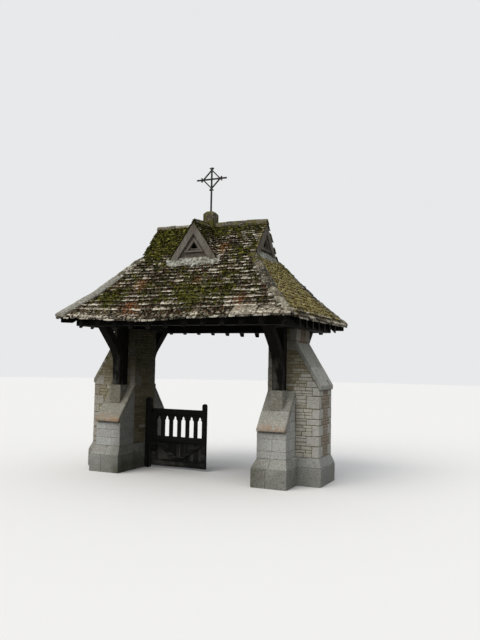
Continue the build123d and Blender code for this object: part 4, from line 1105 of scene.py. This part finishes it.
def add_cushion(pile, slope, e, s, rng, radius, crown=0.006, **values):
    """A low, lumpy cushion on a slope."""
    turns = np.arange(7) * 2 * pi / 7
    wave = float(slope.waves(e, s))
    top = rng.uniform(0.001, crown)
    points = []
    for share, h in ((1.0, -0.020), (0.9, -0.004), (0.5, top)):
        size = radius * share * rng.uniform(0.8, 1.2, 7)
        ring = e + 1.4 * size * np.cos(turns), s + size * np.sin(turns)
        points.append(slope.points(*ring, np.full(7, h + wave)))
    points.append(slope.points([e], [s], [top + 0.002 + wave]))
    faces = [list(range(6, -1, -1)), *tube(7, 3), *[[14 + i, 14 + (i + 1) % 7, 21] for i in range(7)]]
    pile.add(np.concatenate(points), faces, **values)


# Masonry

def lengths(rng, start, stop, mean):
    """Divides a stretch into random lengths near the mean."""
    count = max(1, round(abs(stop - start) / mean))
    shares = rng.uniform(0.6, 1.4, count)
    ends = (start + (stop - start) * np.cumsum(shares) / shares.sum()).tolist()
    return list(zip([start, *ends[:-1]], ends))


def bed_line(face):
    """The plane of the bed under a buttress's weathering stones."""
    return (0, face * BUTTRESS_FACE, LIP_BOTTOM), (0, face * BED_SLOPE, 1)


def wing_line(side):
    """The plane of the bed under a side buttress's coping."""
    return (side * WING_FACE, 0, WING_HEIGHT), (side * WING_SLOPE, 0, 1)


def damp_and_shade_of(points):
    """How much dampness each point has, with painted shade: the passage faces have dampness, and what lies
    under the eaves has dampness and painted shade.
    """
    x, _, z = points.T
    under_eaves = np.where(x < 0, 0.9 * smooth(1.1, 1.9, z), 0.3 * smooth(1.7, 2.3, z))
    return 0.58 * smooth(PIER_IN + 0.012, PIER_IN + 0.002, np.abs(x)) + under_eaves


class Wall:
    """Lays stones on the faces of one pier, in courses, with x measured outwards from the passage."""

    def __init__(self, side, pile, rng, tones, plane, joint=JOINT):
        self.side, self.pile, self.rng, self.tones = side, pile, rng, tones
        self.plane, self.joint = plane, joint

    def stone(self, x, y, z, bevel=0.006, rough=0.0022):
        """One stone between two places along each axis, cut where it reaches past the wall's plane."""
        gap = self.joint / 2
        ends = np.sort([[self.side * x[0], self.side * x[1]], y, [z[0] + gap, z[1] - gap]])
        low, high = ends.T
        # Paler low on the wing, more so on the right: partly the stones' own colour, partly painted light
        # away from the shade of the eaves
        pale = 0.6 if self.side > 0 else 0.25
        pale *= smooth(PIER_OUT - 0.25, PIER_OUT + 0.05, x[0]) * smooth(1.75, 1.25, z[0])
        tone = float(np.clip(self.rng.normal(*self.tones) + pale, 0, 1))
        if self.is_cut(low, high):
            cut_block(self.pile, low, high, [self.plane], bevel, rough, tone=tone, damp=damp_and_shade_of)
        else:
            add_block(self.pile, low, high, self.rng, bevel, rough, tone=tone, damp=damp_and_shade_of)

    def is_cut(self, low, high):
        """Whether any corner of a box lies outside the wall's plane, where the plane counts."""
        point, normal = self.plane
        if normal[0] and (low[2] > WING_TOP or max(abs(low[0]), abs(high[0])) < PIER_OUT + 0.02):
            return False
        farthest = np.where(np.array(normal) > 0, high, low)
        return bool((farthest - point) @ normal > 0)

    def run(self, axis, place, outward, start, stop, z, mean):
        """A run of stones on the face across one axis, between two places along the other."""
        for a, b in lengths(self.rng, start, stop, mean):
            gap = self.joint / 2 * np.sign(b - a)
            across = (place + outward * PROUD, place - outward * self.rng.uniform(*STONE_DEPTH))
            along = (a + gap, b - gap)
            self.stone(*((across, along) if axis == "x" else (along, across)), z)


def lay_pier(side, name):
    """Coursed rubble on the pier and its side buttress, with dressed quoins at the outer corners."""
    rng = np.random.default_rng(SEEDS[name + "_pier"])
    rubble, quoins, outer = Pile(), Pile(), Pile()
    walls = Wall(side, rubble, rng, (0.45 + 0.12 * side, 0.17), wing_line(side))
    corner = Wall(side, quoins, rng, (0.6 + 0.08 * side, 0.14), wing_line(side))
    red = Wall(side, outer, rng, (0.42, 0.22), wing_line(side))
    for number, (low, high) in enumerate(lengths(rng, PLINTH_TOP, PIER_HEIGHT, QUOIN_COURSE)):
        long_x, long_y = (QUOIN_LONG, QUOIN_SHORT) if number % 2 else (QUOIN_SHORT, QUOIN_LONG)
        is_above = low > BED_TOP - 0.05
        outer_x = WING_FACE if low < WING_TOP - 0.03 else PIER_OUT
        for face in (-1, 1):
            y = face * (PIER_FACE + PROUD)
            ends = (outer_x + PROUD, outer_x - long_x)
            corner.stone(ends, (y, y - face * long_y), (low, high), QUOIN_BEVEL)
            if is_above:
                ends = (PIER_IN - PROUD, PIER_IN + long_y)
                corner.stone(ends, (y, y - face * long_x), (low, high), QUOIN_BEVEL)
        inner_x = PIER_IN + long_y if is_above else PIER_OUT
        edge = PIER_FACE - long_x if is_above else PIER_FACE
        for z in lengths(rng, low, high, COURSE):
            for face in (-1, 1):
                if outer_x - long_x - inner_x > 0.05:
                    walls.run("y", face * PIER_FACE, face, inner_x, outer_x - long_x, z, RUBBLE_LENGTH)
            red.run("x", outer_x, 1, long_y - PIER_FACE, PIER_FACE - long_y, z, RUBBLE_LENGTH)
            walls.run("x", PIER_IN, -1, -edge, edge, z, PASSAGE_LENGTH)
    lay_upper_end(walls, rng)
    rubble.piece(name + "_pier_stones", RUBBLE, "rubble")
    quoins.piece(name + "_quoins", QUOIN, "dressed_stone")
    outer.piece(name + "_end_stones", RED_RUBBLE, "rubble")


def lay_upper_end(walls, rng):
    """The pier's own outer face, above the side buttress."""
    edge = PIER_FACE - 0.12
    for z in lengths(rng, WING_HEIGHT, WING_TOP, COURSE):
        if WING_FACE - (z[1] - WING_HEIGHT) / WING_SLOPE - PIER_OUT <= 0.03:
            walls.run("x", PIER_OUT, 1, -edge, edge, z, RUBBLE_LENGTH)


def lay_buttress(side, name):
    """Larger dressed blocks on the front and rear buttresses."""
    rng = np.random.default_rng(SEEDS[name + "_buttress"])
    pile = Pile()
    for face in (-1, 1):
        wall = Wall(side, pile, rng, (0.55, 0.12), bed_line(face), 0.004)
        levels = lengths(rng, PLINTH_TOP, LIP_BOTTOM, LOWER_BLOCKS)
        levels += lengths(rng, LIP_BOTTOM, BED_TOP, UPPER_BLOCKS)
        for number, z in enumerate(levels):
            front = BUTTRESS_FACE - max(0, z[0] - LIP_BOTTOM) / BED_SLOPE
            reach = front - PIER_FACE
            if reach < 0.03:
                continue
            split = PIER_IN + (PIER_OUT - PIER_IN) * rng.uniform(0.36, 0.64)
            depths = (BLOCK_LONG, BLOCK_SHORT) if number % 2 else (BLOCK_SHORT, BLOCK_LONG)
            inner, outer = [min(depth, reach) for depth in depths]
            sides = ((PIER_IN - PROUD, split - 0.002), (split + 0.002, PIER_OUT + PROUD))
            for x, depth in zip(sides, (inner, outer)):
                y = (face * (front + PROUD), face * (front - depth))
                wall.stone(x, y, z, bevel=0.004, rough=0.0015)
            for x, outward, depth in ((PIER_IN, -1, inner), (PIER_OUT, 1, outer)):
                if front - depth - PIER_FACE > 0.05:
                    wall.run("x", x, outward, face * (front - depth), face * PIER_FACE, z, RETURN_LENGTH)
    pile.piece(name + "_buttress_stones", ASHLAR, "dressed_stone")


def lay_plinth(side, name):
    """The plinth as it is built: big blocks below, and sloping blocks above that meet in mitres."""
    rng = np.random.default_rng(SEEDS[name + "_plinth"])
    pile = Pile()
    rise = PLINTH_TOP - PLINTH_SHOULDER
    x_in, x_out = side * (PIER_IN - PLINTH_SIDE), side * (PIER_OUT + PLINTH_SIDE)
    x_wing, y_wing = side * (WING_FACE + PLINTH_SIDE), PIER_FACE + PLINTH_SIDE
    y_front = BUTTRESS_FACE + PLINTH_FRONT
    x_joint = x_out - side * 0.06
    levels = ((0.0, PLINTH_SHOULDER), (PLINTH_SHOULDER, PLINTH_TOP))

    def weathered(x, y, normal):
        return (x, y, PLINTH_SHOULDER), normal

    inner = weathered(x_in, 0, (-side * rise, 0, PLINTH_SIDE))
    for face in (-1, 1):
        planes = [inner, weathered(x_out, 0, (side * rise, 0, PLINTH_SIDE)),
                  weathered(0, face * y_front, (0, face * rise, PLINTH_FRONT))]
        for z in levels:
            split = x_in + (x_out - x_in) * rng.uniform(0.4, 0.6)
            for x in ((x_in, split), (split, x_out)):
                sides = planes[:1] if x[1] == x_out else planes[:2]
                plinth_stone(pile, x, (face * y_front, face * PLINTH_SPLIT), z, planes, rng)
                plinth_stone(pile, x, (face * PLINTH_SPLIT, face * PLINTH_CORE), z, sides, rng)
    planes = [weathered(x_wing, 0, (side * rise, 0, PLINTH_SIDE)),
              weathered(0, -y_wing, (0, -rise, PLINTH_SIDE)), weathered(0, y_wing, (0, rise, PLINTH_SIDE))]
    for z in levels:
        middle = rng.uniform(-0.08, 0.08)
        for y in ((-y_wing, middle), (middle, y_wing)):
            plinth_stone(pile, (x_joint, x_wing), y, z, planes, rng)
        plinth_stone(pile, (x_in, x_joint), (-PLINTH_CORE, PLINTH_CORE), z, [inner], rng)
    pile.piece(name + "_plinth_stones", ASHLAR, "dressed_stone", [name + "_plinth"])


def plinth_stone(pile, x, y, z, planes, rng):
    """One plinth stone, square on the ground level and cut by the planes above it."""
    gap = FINE_JOINT
    low = np.array([min(x) + gap, min(y) + gap, z[0] + gap if z[0] else 0.0])
    high = np.array([max(x) - gap, max(y) - gap, z[1] - gap])
    tone = float(np.clip(rng.normal(0.5, 0.14), 0, 1))
    cut_block(pile, low, high, planes if z[0] else [], bevel=0.004, rough=0.0012, tone=tone,
              damp=lambda points: 0.33 + damp_and_shade_of(points))


def cap_wings():
    """The side buttresses' copings, in sloping stones."""
    rng = np.random.default_rng(SEEDS["copings"])
    pile = Pile()
    lift = COPING_THICKNESS * sqrt(1 + WING_SLOPE * WING_SLOPE)
    gap = 0.002 / WING_SLOPE
    for side in (-1, 1):
        for number, (outer, inner) in enumerate(lengths(rng, WING_FACE, PIER_OUT, COPING_LENGTH)):
            low, high = [WING_HEIGHT + (WING_FACE - x) * WING_SLOPE for x in (outer, inner)]
            inner, outer = inner + gap, outer - gap
            outline = [(inner, high), (outer, low), (outer, low + lift), (inner, high + lift)]
            if number == 0:
                nose = WING_HEIGHT - (COPING_REACH - WING_FACE) * WING_SLOPE + lift
                outline[2:3] = [(COPING_REACH, WING_HEIGHT), (COPING_REACH, nose)]
            shift = rng.uniform(-0.003, 0.003)
            tone, moss = float(np.clip(rng.normal(0.4, 0.2), 0, 1)), rng.uniform(0, 0.5)
            prism(pile, outline, lambda a, b, w: Vector((side * a, w, b + shift)), -PIER_FACE, PIER_FACE,
                  bevel=0.008, rough=0.004, slices=5, tone=tone, moss=moss, damp=0.2)
    pile.piece("wing_copings", WEATHERING, "dressed_stone", ["left_coping", "right_coping"])


def cover(node, material):
    """Gives a CAD node that stays a material."""
    mesh = NODES[node].data
    mesh.materials.clear()
    mesh.materials.append(material)


def part_joint(point):
    """Opens the joint between the lower and upper weathering stones."""
    if abs(abs(point.y) - STONE_JOINT) < 0.002:
        return Vector((point.x, point.y * (1 + 0.007 / STONE_JOINT), point.z))
    return point


def dress_masonry():
    """Stones over the piers and buttresses, with mortar between them, and the dressed stones above."""
    for side, name in ((-1, "left"), (1, "right")):
        lay_pier(side, name)
        lay_buttress(side, name)
        lay_plinth(side, name)
        for face in ("front", "rear"):
            cover(f"{name}_{face}_buttress", PALE_MORTAR)
        cover(name + "_pier", MORTAR)
    dressed("lower_weatherings", WEATHERING, "dressed_stone", bevel=0.009, rough=0.003, cuts=2,
            move=part_joint, tone=lambda p: 0.52 + 0.14 * np.sign(p[:, 0]),
            warm=lambda p: smooth(LIP_FACE - 0.09, LIP_FACE - 0.01, np.abs(p[:, 1])))
    # The upper weatherings and pads are darker and greener: dampness and painted shade under the eaves
    dressed("upper_weatherings", WEATHERING, "dressed_stone", bevel=0.008, rough=0.002, cuts=1,
            tone=lambda p: 0.4 + 0.1 * np.sign(p[:, 0]), damp=0.26)
    dressed("pad_stones", WEATHERING, "dressed_stone", bevel=0.006, rough=0.001,
            tone=lambda p: 0.36 + 0.12 * np.sign(p[:, 0]), damp=0.26, warm=0.08)


# Timber

def tail_drop(point):
    """Lowers a rafter's tail with the eave above it."""
    long_run, end_run = EAVE_Y - abs(point.y), EAVE_X - abs(point.x)
    is_long = long_run < end_run
    e = -point.x * np.sign(point.y) if is_long else point.y * np.sign(point.x)
    drop = eave_drop(e, min(long_run, end_run) / cos(FOOT_ANGLE), is_long)
    return Vector((point.x, point.y, point.z - float(drop)))


def sagged(point):
    """Lowers the front of a cross gablet with its ridge."""
    share = min(max((point.z - GABLET_BASE) / (RIDGE_TOP - GABLET_BASE), 0.0), 1.0)
    return Vector((point.x, point.y, point.z - float(ridge_sag(point.y)) * share))


def dress_timber():
    """Copies of the CAD timbers with eased edges, each with its grain along its length."""
    up, along, across = (0, 0, 1), (1, 0, 0), (0, 1, 0)
    # The third column is the height below which the oak greys, partly weathering and partly painted
    # highlight, and None for timbers under the roof
    rows = (
        ("wall_posts", up, 1.9), ("side_beams", across, None), ("long_plates", along, None),
        ("end_plates", across, None), ("ridge_board", along, None),
        ("front_braces", (0, 0.25, 1), 2.0), ("rear_braces", (0, 0.25, 1), 2.0),
        ("front_rafters", (0, cos(ROOF_ANGLE), sin(ROOF_ANGLE)), None),
        ("rear_rafters", (0, -cos(ROOF_ANGLE), sin(ROOF_ANGLE)), None),
        ("end_rafters", along, None), ("hip_rafters", up, None), ("end_trimmers", across, None),
    )
    for node, grain, wear_and_highlight_height in rows:
        # Timbers under the roof take SHADED_OAK, painted shade
        colours, weather = (DARK_OAK, 0.6) if wear_and_highlight_height else (SHADED_OAK, 0.1)
        material = timber_material(node + "_oak", grain, colours, weather, wear_and_highlight_height)
        dressed(node, material, "frame_oak", bevel=0.006, rough=0.002,
                move=tail_drop if "rafters" in node else None,
                plane=((0, 0, HIP_FOOT), (0, 0, -1)) if node == "hip_rafters" else None)
    grey = timber_material("bargeboard_oak", (0.2, 0.2, 1), GREY_OAK, 0.5)
    dressed("cross_bargeboards", grey, "weathered_oak", bevel=0.004, rough=0.002, move=sagged)
    dressed("end_bargeboards", grey, "weathered_oak", bevel=0.004, rough=0.002)
    panel = timber_material("panel_oak", (1, 1, 0), PANEL_OAK, 0.3)
    dressed("gablet_panels", panel, "weathered_oak", bevel=0.004, rough=0.002)


def arc(centre, radius, start, end, steps=5):
    """Points round a circle, from one angle in degrees to another."""
    turns = [radians(start + (end - start) * i / steps) for i in range(steps + 1)]
    return [(centre[0] + radius * cos(a), centre[1] + radius * sin(a)) for a in turns]


def sloping_board(apex, slope, base, depth, hand):
    """Outline of a board that falls from a gable's apex to a level base."""
    inner = apex - depth * sqrt(1 + slope * slope)
    foot = max((inner - base) / slope, 0.0)
    corners = ((0.001, apex), ((apex - base) / slope, base), (foot, base), (0.001, inner))
    return [(hand * x, z) for x, z in corners]


def trim_gablet(boards, panels, place, face, slope, base, vent_base):
    """The second boards, the small inner gable round the vent and the boards below it."""
    vent_apex = vent_base + VENT_HEIGHT
    back = face - 0.002
    ledge_foot, ledge_top = vent_base - LEDGE_FOOT, vent_base - LEDGE_TOP
    outer_apex, inner_apex = vent_apex + OUTER_RISE, vent_apex + INNER_RISE
    inner_base = vent_base - INNER_FOOT
    for hand in (-1, 1):
        outer = sloping_board(outer_apex, slope, base, OUTER_DEPTH, hand)
        prism(boards, outer, place, back, face + OUTER_FRONT, bevel=0.003, rough=0.0015, tone=0.6)
        inner = sloping_board(inner_apex, slope, inner_base, INNER_DEPTH, hand)
        prism(boards, inner, place, back, face + INNER_FRONT, bevel=0.003, rough=0.001, tone=0.6)
    half = (inner_apex - inner_base) / slope + 0.015
    ledge = [(-half, ledge_foot), (half, ledge_foot), (half, ledge_top), (-half, ledge_top)]
    prism(boards, ledge, place, back, face + LEDGE_FRONT, bevel=0.003, rough=0.001, tone=0.6)
    top_half, foot_half = [(outer_apex - z) / slope for z in (ledge_foot, base)]
    board = [(-foot_half, base), (foot_half, base), (top_half, ledge_foot), (-top_half, ledge_foot)]
    prism(panels, board, place, back, face + 0.008, bevel=0.002, rough=0.001, tone=0.6)
    trefoil = []
    for turn in (90, 210, 330):
        centre = arc((0.0, vent_base + VENT_HEIGHT * 0.30), LOBE * 0.95, turn, turn, 1)[0]
        trefoil += arc(centre, LOBE, turn - 100, turn + 100, 8)
    plate = [(-PLATE_HALF, vent_base - 0.02), (PLATE_HALF, vent_base - 0.02), (0, vent_apex + 0.03)]
    pierced(panels, plate, [trefoil], place, face - 0.012, face + 0.002, tone=0.5)


def trim_gablets():
    """Weathered boards in layers on the faces of all four gablets."""
    boards, panels = Pile(), Pile()
    end_sill = float(hip_height(EAVE_X - GABLE_WALL)) - COVERING
    for side in (-1, 1):
        trim_gablet(boards, panels, lambda a, b, w: sagged(Vector((a, side * w, b))), GABLET_FACE,
                    tan(GABLET_ANGLE), GABLET_BASE + 0.004, PANEL_LOW.z + VENT_SILL)
        trim_gablet(boards, panels, lambda a, b, w: Vector((side * w, a, b)), GABLE_WALL,
                    tan(ROOF_ANGLE), end_sill + COVERING + 0.004, end_sill + VENT_SILL)
    board_oak = timber_material("gablet_board_oak", (0.3, 0.3, 1), GREY_OAK, 0.4)
    boards.piece("gablet_boards", board_oak, "weathered_oak")
    vent_oak = timber_material("vent_board_oak", (1, 1, 0), PANEL_OAK, 0.4)
    panels.piece("vent_boards", vent_oak, "weathered_oak")


# Gates, the left leaf along x and the right one along y

def leaf_place(name, along, across, up):
    return Vector((along, across, up)) if name == "left" else Vector((across, along, up))


def leaf_box(name, part):
    """The ends of a leaf's part along it, across it and in height."""
    low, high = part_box(f"{name}_gate_{part}")
    ends = list(zip(low, high))
    return ends if name == "left" else [ends[1], ends[0], ends[2]]


def cusped_opening(middle, foot, spring, apex, half):
    """A pointed opening with a cusped, trefoil head."""
    rise = apex - spring
    right = [(half, foot), (half, spring)]
    right += arc((half * 0.30, spring + rise * 0.08), half * 0.70, -8, 66, 5)[1:]
    right += [(half * 0.50, spring + rise * 0.46)]
    right += arc((half * 0.16, spring + rise * 0.55), half * 0.42, -24, 44, 4)
    right += [(half * 0.20, spring + rise * 0.84), (0.0, apex)]
    return [(middle + a, b) for a, b in right] + [(middle - a, b) for a, b in reversed(right[:-1])]


def gate_tracery(name, material):
    """The pierced panel of one leaf, with its row of cusped openings."""
    (start, end), (back, front), (low, high) = leaf_box(name, "tracery")
    pitch = (end - start - OPENING_WIDTH) / (OPENINGS - 1)
    middles = [start + OPENING_WIDTH / 2 + i * pitch for i in range(OPENINGS)]
    half = OPENING_WIDTH / 2 - 0.003
    holes = [cusped_opening(middle, low + OPENING_FOOT, OPENING_SPRING, OPENING_APEX, half)
             for middle in middles]
    outline = [(start, low), (end, low), (end, high), (start, high)]
    pile = Pile()
    pierced(pile, outline, holes, lambda a, b, w: leaf_place(name, a, w, b), back, front, tone=0.5)
    pile.piece(name + "_gate_panel", material, "gate_oak", [name + "_gate_tracery"], name + "_leaf")


def strap_bolts(name):
    """Domed bolt heads along the straps of one leaf, on their outer faces."""
    (start, end), (back, _), (low, high) = leaf_box(name, "straps")
    out, across = leaf_place(name, 0, 1, 0), leaf_place(name, 1, 0, 0)
    turns = [pi * 2 * i / BOLT_SIDES for i in range(BOLT_SIDES)]
    directions = [across * cos(turn) + out.cross(across) * sin(turn) for turn in turns]
    last = BOLT_SIDES * (len(BOLT_PROFILE) - 1)
    faces = [list(range(BOLT_SIDES))[::-1], list(range(last, last + BOLT_SIDES))]
    faces += tube(BOLT_SIDES, len(BOLT_PROFILE))
    pile = Pile()
    for z in (low + BOLT_INSET, high - BOLT_INSET):
        for step in range(BOLTS):
            centre = leaf_place(name, start + (end - start) * (step + 0.7) / BOLTS, back + STRAP, z)
            points = [centre + out * h + direction * r for r, h in BOLT_PROFILE for direction in directions]
            pile.add([tuple(p) for p in points], faces)
    pile.piece(name + "_strap_bolts", IRON, "wrought_iron", (), name + "_leaf", True)


def dress_gates():
    """Both leaves with their straps and bolts, the gate posts and the pintles."""
    # The gate's oak greys below 0.5 m: partly weathering, partly painted highlight
    upright = timber_material("gate_upright_oak", (0, 0, 1), GATE_OAK, 0.35, 0.5)
    for name in ("left", "right"):
        body = name + "_leaf"
        grain = leaf_place(name, 1, 0, 0)
        cross = timber_material(name + "_gate_rail_oak", grain, GATE_OAK, 0.35, 0.5)
        dressed(name + "_gate_frame", cross, "gate_oak", bevel=0.004, rough=0.001, body=body)
        dressed(name + "_gate_boards", upright, "gate_oak", bevel=0.003, rough=0.0008, body=body)
        dressed(name + "_gate_braces", cross, "gate_oak", bevel=0.003, rough=0.0008, body=body)
        gate_tracery(name, upright)
        dressed(name + "_gate_straps", IRON, "wrought_iron", bevel=0.0015, rough=0.0, body=body)
        strap_bolts(name)
    dressed("gate_posts", upright, "gate_oak", bevel=0.006, rough=0.0015)
    dressed("gate_pintles", IRON, "wrought_iron", bevel=0.0015, rough=0.0)


slate_roof()
cap_hips()
cap_ridges()
slate_boards()
dress_masonry()
dress_timber()
dress_gates()
dressed("finial_block", RIDGE_STONE, "dressed_stone", bevel=0.008, rough=0.002, tone=0.45, moss=0.55)
dressed("iron_cross", IRON, "wrought_iron", bevel=0.003, rough=0.0)
trim_gablets()
lay_aprons()
cap_wings()
grow_moss()


# Stage, light and camera

def put(name, data):
    """An object in the scene that is no piece."""
    holder = bpy.data.objects.new(name, data)
    bpy.context.scene.collection.objects.link(holder)
    return holder


def stage():
    """The floor, which is no piece."""
    bm = bmesh.new()
    bmesh.ops.create_circle(bm, cap_ends=True, radius=FLOOR_RADIUS, segments=48)
    mesh = bpy.data.meshes.new("floor")
    bm.to_mesh(mesh)
    bm.free()
    mesh.materials.append(floor_material())
    put("floor", mesh)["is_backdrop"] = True


def sky():
    """Soft light from an overcast sky, brighter overhead, with a pale backdrop to the camera."""
    world = bpy.data.worlds.new("sky")
    world.use_nodes = True
    world.node_tree.nodes.clear()
    s = Nodes(world.node_tree)
    up = s.node("SeparateXYZ", {0: s.node("TexCoord", output="Generated")}, "Z")
    levels = {"Value": up, "From Min": -0.1, "From Max": 1.0, "To Min": SKY_LOW, "To Max": SKY_HIGH}
    light = s.node("Background", {"Color": SKY_COLOUR, "Strength": s.node("MapRange", levels)})
    backdrop = s.node("Background", {"Color": BACKDROP})
    surface = s.node("MixShader", {0: s.seen(), 1: light, 2: backdrop})
    s.feed(s.tree.nodes.new("ShaderNodeOutputWorld").inputs["Surface"], surface)
    bpy.context.scene.world = world


def sun():
    lamp = bpy.data.lights.new("soft_sun", "SUN")
    lamp.energy, lamp.angle, lamp.color = SUN_STRENGTH, SUN_SPREAD, SUN_COLOUR
    put("soft_sun", lamp).rotation_euler = Vector(SUN_DIRECTION).to_track_quat("-Z", "Y").to_euler()


def camera():
    """The photograph's viewpoint: yaw to the left of +Y, pitch up and a small roll, in degrees."""
    data = bpy.data.cameras.new("camera")
    data.lens, data.sensor_width = CAMERA_LENS, 36
    turn = Matrix.Rotation(radians(CAMERA_YAW), 4, "Z") @ Matrix.Rotation(radians(90 + CAMERA_PITCH), 4, "X")
    roll = Matrix.Rotation(radians(CAMERA_ROLL), 4, "Z")
    holder = put("camera", data)
    holder.matrix_world = Matrix.Translation(CAMERA_PLACE) @ turn @ roll
    bpy.context.scene.camera = holder


stage()
sky()
sun()
camera()
bpy.context.scene.view_settings.view_transform = "Standard"

sizes = {"cad": cad_box, "visual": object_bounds()}
{key: [list(corner) for corner in box] for key, box in sizes.items()}
